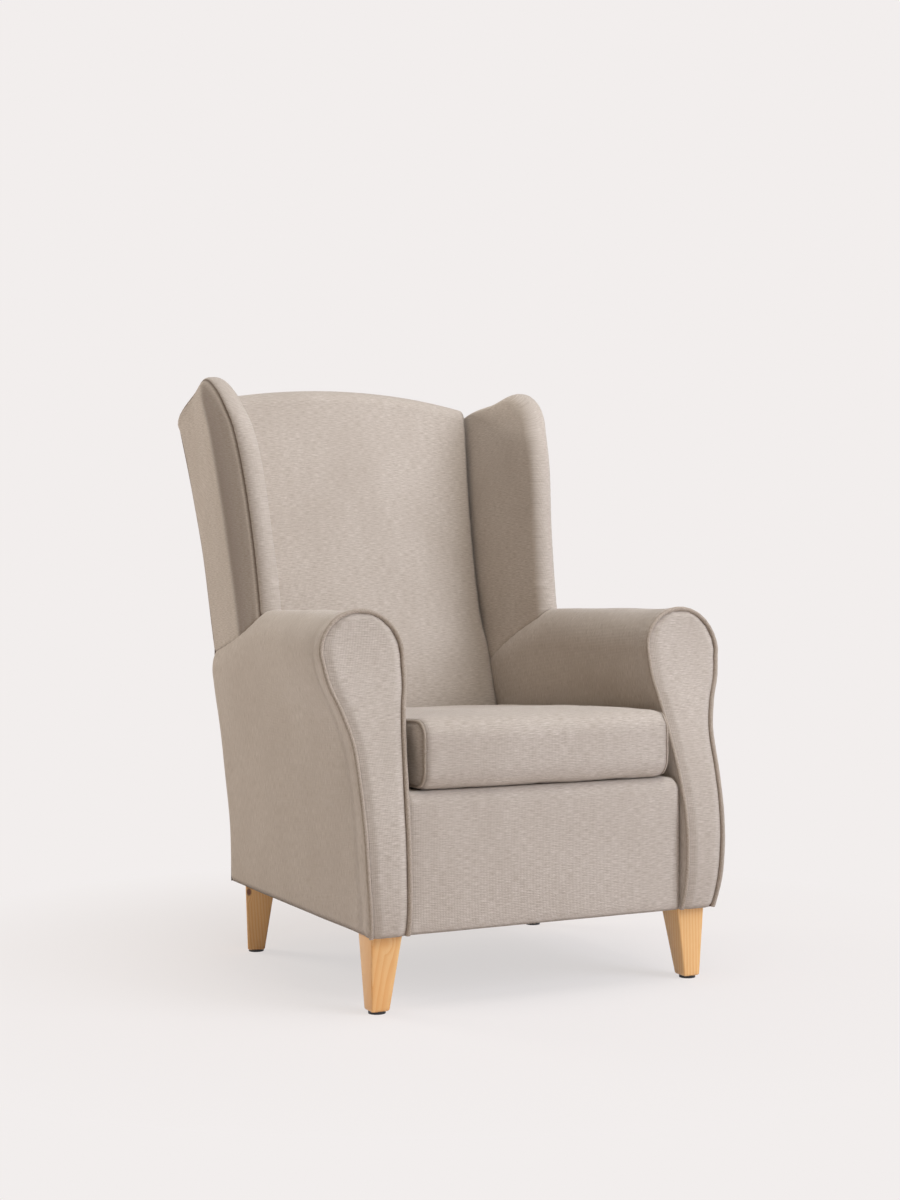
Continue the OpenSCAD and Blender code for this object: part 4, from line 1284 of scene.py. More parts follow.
    def facing(self) -> Surface:
        """The padded arm front: level rows across the outline, crowned in the middle.

        Returns:
            The grid.
        """
        b = self.lines
        inset = b.piping_r * 0.7
        r = b.scroll_r - inset
        z_low = np.linspace(b.hem_z, b.scroll_z, 64)[:-1]
        angle = np.linspace(0.0, math.radians(88.0), 26)
        h = (z_low - b.leg_h) / b.arm_h
        left, right = (
            np.concatenate([self.width(h, np.zeros(1), table, way > 0) + way * inset,
                b.scroll_x - way * r * np.cos(angle)])[:, None]
            for table, way in ((self.inner, 1), (self.outer, -1))
        )
        z = np.concatenate([z_low, b.scroll_z + r * np.sin(angle)])[:, None]
        u = np.sin(np.linspace(-math.pi / 2, math.pi / 2, 40))[None, :]
        x = mix(left, right, (u + 1) / 2)
        top_edge = np.maximum(b.scroll_z + b.scroll_r - inset - z, 0.0)
        edge = np.minimum((1.0 - np.abs(u)) * ((right - left) / 2), top_edge * 1.4 + 0.2)
        crown = b.facing_crown * ease(edge / 16.0)
        turn = np.arctan2(z - b.scroll_z, x - b.scroll_x)
        gathers = np.sin(turn * 17.0 + 0.6 * np.sin(3 * turn)) * hill(edge, 3.0, 8.0)
        y = b.arm_front(z) + 1.2 - crown + 0.35 * gathers * ease((z - b.scroll_z + 60) / 60)
        points = np.stack([x, y, z + 0 * x], -1)
        points[..., 1] += 0.5 * undulation(points, 90.0, 5)
        hem = np.abs(points[..., 2] - b.hem_z)
        points[..., 1] += self.hem_dip * hill(hem, 0.0, 5.0)
        # Painted shade along the piped edge and at the hem
        seam = 0.8 * hill(edge, 0.0, 2.4) + 0.4 * hill(hem, 0.0, 2.0)
        return Surface(points, np.stack([x, z + 0 * x], -1) * MM, np.clip(seam, 0, 1))

    def piping(self) -> Surface:
        """The welt: a slightly uneven round cord in bias-cut cloth along the arm's outline.

        Returns:
            The closed tube.
        """
        b, sides = self.lines, 12
        x, z = (v[0] for v in self.outline(np.zeros((1, 1)), b.hem_z, b.hem_z, (80, 60, 80)))
        path = np.stack([x, b.arm_front(z), z], -1)
        tangent = np.gradient(np.stack([x, z], -1), axis=0)
        tangent /= np.linalg.norm(tangent, axis=1, keepdims=True)
        across = np.stack([-tangent[:, 1], 0 * x, tangent[:, 0]], -1)
        over = np.broadcast_to([0.0, 1.0, 0.0], path.shape)
        run = lengths_along(path[None], 1)[0] / MM
        swell = 1.0 + 0.035 * np.sin(run / 2.3) + 0.03 * np.sin(run / 9.1)
        section = ring(b.piping_r, b.piping_r, sides)[None] * swell[:, None, None]
        points = sweep(path, across, over, section)
        # The strip is cut on the bias, so its threads run at half a right angle to the cord
        run, turn = run[:, None], (np.arange(sides + 1) / sides * math.tau * b.piping_r)[None, :]
        cloth = np.stack([run + turn, run - turn], -1) * 0.707 * MM
        return Surface(points, cloth, wrap=True, caps=True)

    def build(self) -> None:
        """Make both arms."""
        parts = (
            ("rolled_arm", "arm_cover", self.cover(), Slot.taupe_fabric, 0.95),
            ("arm_front", "arm_facing", self.facing(), Slot.taupe_fabric, 0.9),
            ("arm_welt", "arm_piping", self.piping(), Slot.taupe_piping, None),
        )
        for side in Side:
            for name, node, surface, slot, fill in parts:
                obj = surface_object(f"{name}_{side.label}", surface, self.lines, side)
                if fill is not None:
                    thicken(obj, COVER_T)
                self.wardrobe.dress(obj, slot, CHAIR, (f"{node}_{side.label}",), fill)


@dataclass(frozen=True)
class WingSections:
    """The wing's sections, one row each, from the rear edge round the rim to the inner side.

    A section lies on a line from the rear edge to the rim. It has its share t of the way up the
    rim, its full length, and the seam's distance from the rim. Its points have their depth along
    the line, the half thickness there, their signed share of it, outwards positive, and a place.
    """

    t: np.ndarray
    full: np.ndarray
    seam_in: np.ndarray
    depth: np.ndarray
    half: np.ndarray
    sign: np.ndarray
    y: np.ndarray
    z: np.ndarray


@dataclass(frozen=True)
class Wings:
    """The wings: padded panels that fan from the rear to a rolled front edge.

    The rim's three rows are its keys, with the shares of its depth and of its rise at each.
    """

    lines: BodyLines
    wardrobe: Wardrobe
    arms: RolledArms
    rim_keys: tuple[float, ...] = (0, 0.235, 0.417, 0.53, 0.627, 0.727, 0.842, 1)
    rim_depths: tuple[float, ...] = (0, 0.085, 0.16, 0.25, 0.37, 0.54, 0.74, 1)
    rim_rises: tuple[float, ...] = (0, 0.368, 0.653, 0.817, 0.933, 0.994, 0.935, 0.847)
    rear_in: float = 2.0
    seam_in: float = 12.0
    seam_top: float = 7.0
    groove: float = 2.2
    fold_low: float = 130.0
    fold_high: float = 150.0
    crease: float = 0.8
    ridge: float = 7.0
    puff: float = 3.0
    painted_band_shade: float = 0.8
    inner_lift: float = 32.0
    flare_from: float = 0.75
    turn_down: float = 26.0
    turn_back: float = 30.0

    def rim(self, t: np.ndarray) -> tuple[np.ndarray, np.ndarray]:
        """The front and top edge of the wing, from the arm to the rear corner.

        Args:
            t: shares of the way.

        Returns:
            Depths and heights.
        """
        b = self.lines
        end = float(b.rear(b.arm_top_z + b.wing_corner_h)) - self.rear_in
        rise = SmoothTable(self.rim_keys, self.rim_rises).at(t)
        level = mix(1.0, b.wing_corner_h / b.wing_rise / self.rim_rises[-1], ease(t))
        y = mix(b.wing_front, end, SmoothTable(self.rim_keys, self.rim_depths).at(t))
        return y, b.arm_top_z + CLEAR + (b.wing_rise - CLEAR) * rise * level

    def sections(self) -> WingSections:
        """Lay out the sections: plain outlines whose half thickness falls evenly to the rim's.

        The columns run up the outer side, closer by the seam, turn over the front roll, run back
        down the inner side, and close across the rear edge, where the panel is sewn on.

        Returns:
            The sections.
        """
        b = self.lines
        t = np.concatenate([np.linspace(0, 0.06, 10)[:-1], np.linspace(0.06, 0.9, 76)[:-1],
            np.linspace(0.9, 1.0, 14)])[:, None]
        az = mix(b.arm_top_z - b.seam_drop + CLEAR, b.arm_top_z + b.wing_corner_h - 25.0, t)
        ay = b.rear(az) - self.rear_in
        ry, rz = self.rim(t)
        full = np.hypot(ry - ay, rz - az)
        r = np.minimum(b.wing_front_t / 2, full * 0.8)
        stretch = full - r
        # The seam runs up the front at the roll's rear edge, and along the very edge on top
        on_top = ease((t - 0.42) / 0.2)
        seam_in = mix(self.seam_in, self.seam_top, on_top)
        near = np.clip(np.maximum(seam_in - r, 0.0) + 3.0, 0.0, stretch * 0.4)
        start = np.clip(stretch - near - 5.0, stretch * 0.3, None)
        by_seam = stretch - near * 0.5
        # The roll is a half ellipse in front, and squarer where the top edge is sewn
        q = np.linspace(math.pi / 2, -math.pi / 2, 37)[None, :]
        power = 2.0 / mix(2.0, 3.2, on_top * ease(np.sin(q) * 2 + 0.6))
        inner_end = np.minimum(10.0, stretch / 2)
        outside = [mix(low, high, np.linspace(0.0, 1.0, count)[None, :-1])
            for low, high, count in ((0.0, start, 34), (start, by_seam, 13), (by_seam, stretch, 6))]
        inside = mix(stretch, inner_end, np.linspace(0.0, 1.0, 34)[None, 1:])
        closing = inner_end * np.array([[0.6, 0.25] + [0.0] * 10])
        depth = np.concatenate([*outside, stretch + r * np.cos(q) ** power, inside, closing], 1)
        sign = np.concatenate([share + 0 * t for share in (
            np.ones((1, sum(run.shape[1] for run in outside))),
            np.sign(np.sin(q)) * np.abs(np.sin(q)) ** power,
            -np.ones((1, inside.shape[1] + 2)),
            np.linspace(-1.0, 1.0, 10)[None, :],
        )], 1)
        # Towards the rear corner the top keeps the full thickness of the rear edge
        rim_half = mix(b.wing_front_t / 2, b.wing_rear_t / 2, ease((t - 0.78) / 0.2))
        half = mix(b.wing_rear_t / 2, rim_half, np.clip(depth / stretch, 0.0, 1.0))
        return WingSections(t, full, seam_in, depth, half, sign, ay + (ry - ay) / full * depth,
            az + (rz - az) / full * depth)

    def skirt(self, foot: np.ndarray, off: np.ndarray) -> tuple[np.ndarray, ...]:
        """Run the foot on down to the arm, where it is sewn, and turn it in under the seam.

        Args:
            foot: the lowest section's points.
            off: how far each stands out from the wing's middle.

        Returns:
            The rows below the foot, their heights above the arm, and the foot's own.
        """
        top = self.arms.top_at(foot[..., 0], foot[..., 1])
        drop = foot[..., 2] - np.minimum(top, foot[..., 2])
        reach = np.linspace(1.0, 0.0, 15)[:-1, None]
        under = np.linspace(1.0, 0.0, 8)[:-1, None]
        ahead = self.lines.slope * 1.02
        to_arm = np.stack([0 * off + 0 * reach, -ahead * drop * reach, -drop * reach], -1)
        turned = np.stack([-0.5 * off * under**2, -ahead * (drop + self.turn_back * under),
            -drop - self.turn_down * under], -1)
        above = np.concatenate([-self.turn_down * under + 0 * drop, drop * (1.0 - reach)])
        return np.concatenate([foot + turned, foot + to_arm]), above, drop

    def surface(self) -> Surface:
        """The wing's skin, with its fold, its seam, its foot on the arm and its closed top end.

        The rear part of the outer side is a flat plate as far as a fold, where the cloth turns
        forward. After a soft crease it swells out, with painted shade that is darkest just past the
        fold and fades towards the seam, and sinks into the seam's groove at the edge of the front
        roll.

        Returns:
            The grid.
        """
        b = self.lines
        w = self.sections()
        off = w.half * w.sign
        edge = w.full - w.depth
        outer = np.clip(w.sign * 2.5, 0.0, 1.0)
        big = ease((w.full - 70.0) / 60.0)
        behind = (b.rear(w.z) - self.rear_in - w.y) * math.cos(math.radians(b.rake))
        high = (w.z - b.arm_top_z) / b.wing_rise
        fold_at = mix(self.fold_low, self.fold_high, ease(high))
        past = np.maximum(behind - fold_at, 0.0)
        left = np.maximum(edge - w.seam_in, 0.0)
        share = past / np.maximum(past + left, 1e-3)
        plate = np.clip(behind / fold_at, 0.0, 1.0)
        swell = self.ridge * plate * (1.0 - share) ** 1.5 + self.puff * np.sin(math.pi * share)
        crease = self.crease * hill(behind, fold_at, 16.0)
        groove = hill(edge, w.seam_in, 2.2) * outer
        off = off + (swell - crease) * ease(left / 38.0) * outer * big
        off = off - self.groove * groove
        flare = b.wing_flare * ease((high - self.flare_from) / (1.0 - self.flare_from))
        middle = b.wing_x(w.z) + (w.depth / w.full) ** 2 * (b.wing_toe + flare)
        # The top slopes up from its sewn outer edge to the inner edge, which meets the crest
        lift = self.inner_lift * ease((w.t - 0.72) / 0.24) * (1.0 - w.sign) / 2
        y, z = w.y, w.z + lift
        points = np.stack([middle + off, y, z], -1)
        soft = 0.8 * undulation(points, 150.0, 11)
        gathers = np.sin(lengths_along(points, 0) / MM / 2.6) * hill(edge, w.seam_in, 9.0)
        points[..., 0] += (soft + gathers * outer * 0.35) * np.where(w.sign > 0, 1.0, -1.0) * 0.8
        # Painted shade: a darker band on the outer side just past the fold, fading towards the
        # seam, and darker lines in the seam's groove and along the rear edge
        painted_band_shade = self.painted_band_shade * ease(past / 26.0) * (1.0 - 0.6 * share) * ease(left / 14.0) * big
        seam = 0.85 * groove + (0.4 * hill(w.depth, 0.0, 2.5) + painted_band_shade) * outer
        # Round the front the cloth runs across, and over the top it runs down both sides
        over = ease((w.t - 0.45) / 0.25)
        cloth = np.stack([y + off * (1.0 - over), z - off * over], -1)
        # The last section closes on its own middle
        ends = np.array([0.7, 0.35, 0.0])[:, None]
        level = z[-1:] - lift[-1:] + self.inner_lift / 2
        shut = np.stack([mix(middle[-1:], points[-1:, :, 0], ends), y[-1:] + 0 * ends,
            mix(level, z[-1:], ends)], -1)
        skirt, above, drop = self.skirt(points[:1], off[:1])
        more = ((len(skirt), len(shut)), (0, 0))
        cloth = np.concatenate([np.stack([skirt[..., 1] + off[:1], skirt[..., 2]], -1), cloth,
            np.stack([shut[..., 0] + shut[..., 1], shut[..., 2]], -1)])
        seam = np.pad(seam, more, mode="edge")
        seam[-len(shut):] = 0.0
        far = np.full(shut.shape[:2], 999.0)
        from_arm = np.concatenate([above, drop + np.hypot(y - y[:1], z - z[:1]), far])
        # Painted shade where the wing is sewn onto the arm
        seam = seam + 0.6 * hill(from_arm, 0.0, 2.6)
        points = np.concatenate([skirt, points, shut])
        pulls = 0.5 * np.sin(points[..., 1] / 4.2) * hill(from_arm, 6.0, 12.0)
        way = np.sign(np.pad(w.sign, more, mode="edge"))
        points[..., 0] += (pulls - 1.6 * hill(from_arm, 0.0, 5.0)) * way
        return Surface(points, cloth * MM, np.clip(seam, 0.0, 1.0))

    def build(self) -> None:
        """Make both wings."""
        surface = self.surface()
        for side in Side:
            obj = surface_object(f"padded_wing_{side.label}", surface, self.lines, side)
            thicken(obj, COVER_T)
            self.wardrobe.dress(obj, Slot.taupe_fabric, CHAIR, (f"wing_cover_{side.label}",), 0.95)


@dataclass(frozen=True)
class Back:
    """The inside of the back with its crest, and the plain panel on the rear."""

    lines: BodyLines
    wardrobe: Wardrobe
    crown_rise: float = 150.0
    side_round: float = 22.0
    side_sink: float = 15.0
    press: float = 8.0
    wall_reach: float = 2.1
    uneven: float = 1.2
    panel_lean: float = 0.26

    def front(self, z: np.ndarray, u: np.ndarray) -> np.ndarray:
        """Front face of the back: ahead of the rear face by its thickness and its crown.

        Args:
            z: heights.
            u: shares of the half width, from minus one to one.

        Returns:
            Depths.
        """
        b = self.lines
        swell = mix(b.back_foot_crown, b.back_crown, ease((z - b.tuck_z) / self.crown_rise))
        return b.rear(z) - b.back_t - swell * (1.0 - u * u)

    def inside(self) -> Surface:
        """The inside back: up the crowned face, over a half round crest, with its side walls.

        Returns:
            The grid, one row for each column of cloth across the chair.
        """
        b = self.lines
        u_face = np.sin(np.linspace(-math.pi / 2, math.pi / 2, 96))
        wall = np.linspace(1.0, 0.0, 9)[:-1]
        u = np.pad(u_face, len(wall), mode="edge")[:, None]
        w = np.concatenate([wall, np.zeros_like(u_face), wall[::-1]])[:, None]
        zc = b.back_top_z - b.arch_drop * u * u - b.crest_r
        z1 = mix(b.tuck_z + b.gap, zc, np.linspace(0.0, 1.0, 90)[None, :])
        angle = np.linspace(math.pi, 0.0, 32)[None, 1:]
        yf, yr = self.front(zc, u), b.rear(zc)
        y2 = (yf + yr) / 2 + (yr - yf) / 2 * np.cos(angle)
        y2 = y2 + b.slope * b.crest_r * np.sin(angle) / 2
        y = np.concatenate([self.front(z1, u), y2], 1)
        z = np.concatenate([z1, zc + b.crest_r * np.sin(angle)], 1)
        # Below the arm tops the back's sides swell against the arms
        wide = b.back_x(z) + self.press * (1.0 - ease((z - b.arm_top_z + 90.0) / 80.0))
        edge = (1.0 - np.abs(u)) * wide
        lay = np.linspace(0.0, 1.0, y.shape[1])[None, :]
        y = y + round_in(edge, self.side_round, self.side_sink) * (1.0 - ease((lay - 0.7) / 0.2))
        z = z - round_in(edge, 4.0, 1.5) * ease((lay - 0.74) / 0.12)
        # The side walls run straight to the rear; beside the crest they close in a fan
        count = z1.shape[1]
        level = np.concatenate([z[:, :count], np.repeat(zc, y2.shape[1], axis=1)], 1)
        y = np.where(w > 0, mix(y, b.rear(level) - b.panel_t - CLEAR, w), y)
        z = np.where(w > 0, mix(z, level, w), z)
        apart = self.wall_reach * ease((z - b.arm_top_z) / 60.0)
        x = u * wide + np.sign(u) * apart * ease(w * 1.5)
        points = np.stack([x, y, z], -1)
        inwards = 1.0 - np.abs(u) + 0 * z
        points[..., 1] += self.uneven * undulation(points, 190.0, 21) * ease(inwards * 6)
        points[..., 1] += 2.0 * hill(z, b.tuck_z, 60.0) * undulation(points, 60.0, 23)
        pulls = np.sin(z / 6.5 + 2.0 * np.sin(z / 70.0)) * hill(edge, 8.0, 14.0)
        points[..., 1] += 0.5 * pulls * (1.0 - ease((lay - 0.72) / 0.1))
        # Painted shade along the back's sides, where it meets the wings and arms, and at the rear
        # end of the crest
        seam = 0.9 * hill(edge, 0.0, 6.0) * (1.0 - ease((lay - 0.75) / 0.1))
        seam = seam + 0.7 * hill(lay, 1.0, 0.012)
        cloth = np.stack([x * MM + w * 0.05 * np.sign(u), lengths_along(points, 1)], -1)
        return Surface(points, cloth, np.clip(seam, 0, 1))

    def panel_x(self, z: np.ndarray) -> np.ndarray:
        """Half width of the rear panel: the arms' below, the wings' above, eased between.

        Args:
            z: heights.

        Returns:
            Half widths.
        """
        b = self.lines
        share = ease((z - b.arm_top_z + b.seam_drop + 50.0) / 100.0)
        return mix(b.side_x - 1.2, b.wing_x(z) + b.wing_rear_t / 2 - 7.0, share)

    def panel(self) -> Surface:
        """The rear panel: a taut cloth that turns in at its edges, under the crest's arch.

        Returns:
            The grid.
        """
        b = self.lines
        u = np.sin(np.linspace(-math.pi / 2, math.pi / 2, 60))[:, None]
        corner = float(self.panel_x(np.array(b.arm_top_z + b.wing_corner_h)))
        arch = b.back_top_z - b.arch_drop * (np.abs(u) * corner / b.back_x(b.back_top_z)) ** 2
        top = arch - b.crest_r - 1.0
        z = mix(b.hem_z, top, (1.0 - np.cos(np.linspace(0.0, math.pi, 110)[None, :])) / 2)
        x = u * self.panel_x(z)
        edge = np.minimum((1.0 - np.abs(u)) * self.panel_x(z), np.minimum(top - z, z - b.hem_z))
        points = np.stack([x, b.rear(z) - round_in(edge, 5.0, 3.5), z], -1)
        points[..., 1] += 0.8 * (undulation(points, 210.0, 31) - 1.0) * ease(edge / 40.0)
        # The cloth leans with the rear, so it is longer than it is high
        cloth = np.stack([x, z / math.cos(self.panel_lean)], -1) * MM
        # Painted shade at the panel's turned-in edges
        return Surface(points, cloth, 0.65 * hill(edge, 0.0, 2.6))

    def build(self) -> None:
        """Make the inside back and the rear panel."""
        obj = surface_object("inside_back", self.inside(), self.lines)
        thicken(obj, COVER_T)
        self.wardrobe.dress(obj, Slot.taupe_fabric, CHAIR, ("inside_back_cover",), 0.9)
        obj = surface_object("rear_panel", self.panel(), self.lines)
        face_towards(obj, 1, 1)
        thicken(obj, COVER_T)
        self.wardrobe.dress(obj, Slot.taupe_fabric, CHAIR, ("outside_back_panel",))


@dataclass(frozen=True)
class SeatBase:
    """The padded front border, the deck's cloth and the dust cover under the seat."""

    lines: BodyLines
    wardrobe: Wardrobe
    border_in: float = 5.0
    border_r: float = 20.0
    border_end: float = 64.7
    border_press: float = 5.5
    hem_in: float = 9.0
    crown: float = 3.0
    hem_dip: float = 3.0
    deck_end: float = 590.0
    plate: float = 50.0
    leg_ys: tuple[float, float] = (45.0, 571.0)
    under_ys: tuple[float, float] = (18.0, 625.4)

    def border(self) -> Surface:
        """The border: a face from the hem, a round top edge, and a top that runs to the deck.

        Returns:
            The grid.
        """
        b = self.lines
        half = b.deck_x + self.border_press
        x = (half * np.sin(np.linspace(-math.pi / 2, math.pi / 2, 90)))[:, None]
        near, r = self.border_in, self.border_r
        angle = np.linspace(math.pi, math.pi / 2, 18)[1:]
        face_z = np.linspace(b.hem_z, b.deck_z - r, 44)
        top_y = np.linspace(near + r, self.border_end, 16)[1:]
        down_z = np.linspace(b.deck_z, b.tuck_z + 1.0, 8)[1:]
        y = np.concatenate([[near + self.hem_in], np.full_like(face_z, near),
            near + r * (1.0 + np.cos(angle)), top_y,
            np.full_like(down_z, self.border_end)])[None, :]
        z = np.concatenate([[b.hem_z], face_z, b.deck_z - r + r * np.sin(angle),
            np.full_like(top_y, b.deck_z), down_z])[None, :]
        edge = half - np.abs(x)
        pull = round_in(edge, 14.0, 12.0)
        share = np.clip((z - b.hem_z) / (b.deck_z - b.hem_z), 0.0, 1.0)
        crown = self.crown * np.sin(share * math.pi) * ease((30.0 - y) / 20.0) * ease(edge / 30.0)
        front = ease((30.0 - y) / 10.0)
        yy = y + pull * ease((60.0 - y) / 30.0) * mix(0.8, 1.0, ease(share * 1.6 - 0.6))
        yy = yy - crown + self.hem_dip * (hill(z, b.hem_z, 7.0) * front)
        zz = np.maximum(z - pull * ease((share - 0.85) / 0.15), b.hem_z)
        points = np.stack([x + 0 * yy, yy, zz], -1)
        points[..., 1] += 0.8 * undulation(points, 120.0, 41)
        # Painted shade along the front hem
        seam = 0.5 * hill(zz, b.hem_z, 2.4) * front
        cloth = np.stack([x * MM + 0 * yy, lengths_along(points, 1)], -1)
        return Surface(points, cloth, np.clip(seam, 0, 1))

    @property
    def under_x(self) -> float:
        """Half the width of the dust cover."""
        b = self.lines
        return b.side_x - 0.13 * b.arm_overhang - b.arm_pad_t - 2 * b.gap

    @property
    def plate_x(self) -> float:
        """Inner edge of the leg plates."""
        return self.under_x - self.plate - 0.3

    def flat_cloth(self, name: str, node: str, xs: np.ndarray, ys: np.ndarray, z: float,
                   sag: float, thickness: float, sign: int,
                   bare: tuple[float, ...] = ()) -> None:
        """A stretched cloth: a level grid that sags as one less the square of each share.

        Args:
            name: name of the piece.
            node: the CAD node that it stands for.
            xs: grid lines across.
            ys: grid lines in depth.
            z: height of its edges.
            sag: how far its middle hangs.
            thickness: its own.
            sign: 1 to face up, -1 to face the floor.
            bare: depths of the leg plates that it is cut out round.
        """
        x, y = np.meshgrid(xs, ys)
        v = (y - y.mean()) / (y.max() - y.mean())
        u = x / x.max()
        points = np.stack([x, y, z - sag * (1 - u * u) * (1 - v * v)], -1)
        flat = points.reshape(-1, 3)
        quads, corners = grid_faces(*points.shape[:2], False)
        middle = flat[quads].mean(axis=1)
        near = np.abs(middle[:, 1:2] - np.array([bare])) < self.plate / 2 + 0.3
        keep = ~((np.abs(middle[:, 0]) > self.plate_x) & near.any(axis=1))
        quads, corners = quads[keep], corners[keep]
        used, index = np.unique(quads, return_inverse=True)
        cloth = np.stack([x, y], -1).reshape(-1, 2)[corners.ravel()] * MM
        obj = write_mesh(name, self.lines.placed(flat[used]), index.reshape(-1, 4).tolist(), cloth,
            np.zeros(len(used)))
        face_towards(obj, 2, sign)
        thicken(obj, thickness)
        self.wardrobe.dress(obj, Slot.lining_cloth, CHAIR, (node,))

    def build(self) -> None:
        """Make the border, the deck cloth and the dust cover."""
        b = self.lines
        obj = surface_object("front_border_cover", self.border(), b)
        thicken(obj, COVER_T)
        self.wardrobe.dress(obj, Slot.taupe_fabric, CHAIR, ("front_border",), 0.95)
        xs = np.linspace(-b.deck_x, b.deck_x, 50)
        ys = np.linspace(self.border_end + CLEAR, self.deck_end, 54)
        self.flat_cloth("seat_deck_cloth", "deck_cloth", xs, ys, b.deck_z, 1.2, 1.2, 1)
        cuts = np.array([-self.plate_x, self.plate_x])
        xs = np.unique(np.concatenate([np.linspace(-self.under_x, self.under_x, 41), cuts]))
        reach = self.plate / 2 + 0.3
        edges = np.concatenate([np.array(self.leg_ys) + k * reach for k in (-1, 1)])
        ys = np.unique(np.concatenate([np.linspace(*self.under_ys, 41), edges]))
        self.flat_cloth("dust_cover_cloth", "dust_cover", xs, ys, b.leg_h + 2.0, 0.8, 1.0, -1,
            self.leg_ys)


@dataclass(frozen=True)
class SeatCushion:
    """The loose seat cushion: one cloth wrapped over the front, with a sewn panel at each side."""

    lines: BodyLines
    wardrobe: Wardrobe
    width: float = 460.0
    depth: float = 594.0
    height: float = 112.0
    crown: float = 4.0
    fall: float = 32.0
    draw: float = 8.0
    front: float = -2.0
    front_r: float = 30.0
    rear_r: float = 20.0
    edge_r: float = 7.0
    start_in: float = 5.0
    foam_in: float = 6.0
    voxel: float = 6.0
    pressure: float = 4.0
    cap: float = 9.0
    wadding: float = 4.5
    give: float = 0.22
    sink: float = 0.6
    slide: float = 0.08
    uneven: float = 0.7
    gather: float = 0.55
    frames: int = 20
    quick_swell: float = 20.0
    seam_r: float = 2.6
    bow: float = 4.0
    aim_in: float = 40.0
    stitch_half: float = 1.3
    stitch_r: float = 0.45
    stitch_off: float = 3.0
    stitch_up: float = 0.5
    coil_gap: float = 2.0
    coil_r: float = 1.6
    coil_wire_r: float = 0.3

    @property
    def low(self) -> float:
        """Height of the underside."""
        return self.lines.deck_z + CLEAR

    @property
    def middle_y(self) -> float:
        """Middle of the depth."""
        return self.front + self.depth / 2

    def profile(self, inset: np.ndarray, count: int) -> tuple[np.ndarray, np.ndarray]:
        """Side outline: a rectangle with larger round corners in front than behind.

        Each quarter is a quarter circle about its own middle, joined by straight runs.

        Args:
            inset: column of distances that the outline is drawn in.
            count: points on each quarter circle.

        Returns:
            Depths and heights, one row for each inset.
        """
        y0, y1 = self.front + inset, self.front + self.depth - inset
        z0, z1 = self.low + inset, self.low + self.height - inset
        rf = np.maximum(self.front_r - inset * 0.5, 4.0)
        rr = np.maximum(self.rear_r - inset * 0.5, 4.0)
        a = np.linspace(0.0, math.pi / 2, count)[None, :]
        quarters = [
            (y1 - rr + rr * np.cos(a), z1 - rr + rr * np.sin(a)),
            (y0 + rf - rf * np.sin(a), z1 - rf + rf * np.cos(a)),
            (y0 + rf - rf * np.cos(a), z0 + rf - rf * np.sin(a)),
            (y1 - rr + rr * np.sin(a), z0 + rr - rr * np.cos(a)),
        ]
        return tuple(np.concatenate([q[k] for q in quarters], 1) for k in (0, 1))

    def shaped(self, points: np.ndarray) -> np.ndarray:
        """Give the plain box its crown, its fall to the rear, drawn-in corners and bowed front.

        Args:
            points: points of the box.

        Returns:
            The points, moved.
        """
        out = points.copy()
        u = points[..., 0] / (self.width / 2)
        v = (points[..., 1] - self.middle_y) / (self.depth / 2)
        up = np.clip((points[..., 2] - self.low - self.height / 2) / (self.height / 2), 0.0, 1.0)
        out[..., 2] += self.crown * (1 - u * u) * (1 - np.clip(v * v, 0, 1)) * ease(up)
        out[..., 2] -= self.fall * np.clip((v + 1.0) / 2, 0, 1) * up
        out[..., 0] *= 1.0 - self.draw / (self.width / 2) * v * v
        out[..., 1] -= self.bow * (1 - u * u) * np.clip(-v, 0, 1) ** 6
        return out

    def start(self, drawn: float) -> np.ndarray:
        """The closed box that the cloth starts from: rounded outlines, and flat side panels.

        Args:
            drawn: how far it lies inside the cushion's own size.

        Returns:
            Rows by columns by three.
        """
        half = self.width / 2 - drawn
        a = np.linspace(0.0, math.pi / 2, 6)
        inset = np.concatenate([[52.0, 40.0, 24.0, 12.0], self.edge_r * (1 - np.sin(a))])
        reach = np.concatenate([[half] * 4, half - self.edge_r * (1 - np.cos(a))])
        x = np.concatenate([-reach, np.linspace(-half + 20, half - 20, 24), reach[::-1]])
        inset = np.concatenate([inset, np.zeros(24), inset[::-1]])[:, None] + drawn
        y, z = self.profile(inset, 9)
        return self.shaped(np.stack([x[:, None] + 0 * y, y, z], -1))

    def remeshed(self) -> bpy.types.Object:
        """The start box as even small quads.

        Returns:
            The object.
        """
        tube = plain_tube(self.start(self.start_in))
        rough = surface_object("cushion_start", tube, self.lines)
        made = rough.modifiers.new("voxels", "REMESH")
        made.mode = "VOXEL"
        made.voxel_size = self.voxel * MM
        graph = bpy.context.evaluated_depsgraph_get()
        mesh = bpy.data.meshes.new_from_object(rough.evaluated_get(graph))
        bpy.data.objects.remove(rough)
        mesh.name = "loose_seat_cushion"
        return link_object("loose_seat_cushion", mesh)

    def inflate(self, obj: bpy.types.Object) -> np.ndarray:
        """Blow the cloth up with the cloth solver, and give back where its points went.

        Args:
            obj: the remeshed piece.

        Returns:
            Points in metres.
        """
        scene = bpy.context.scene
        cloth = obj.modifiers.new("cloth", "CLOTH")
        stuff = {"quality": 5, "mass": 0.3, "tension_stiffness": 15.0,
            "compression_stiffness": 15.0, "shear_stiffness": 5.0, "bending_stiffness": 0.5,
            "use_pressure": True, "uniform_pressure_force": self.pressure}
        for key, value in stuff.items():
            setattr(cloth.settings, key, value)
        cloth.settings.effector_weights.gravity = 0.0
        cloth.point_cache.frame_start = 1
        cloth.point_cache.frame_end = self.frames
        for number in range(1, self.frames + 1):
            scene.frame_set(number)
        graph = bpy.context.evaluated_depsgraph_get()
        out = read_all(obj.evaluated_get(graph).to_mesh().vertices, "co")
        obj.evaluated_get(graph).to_mesh_clear()
        obj.modifiers.remove(cloth)
        scene.frame_set(1)
        return out

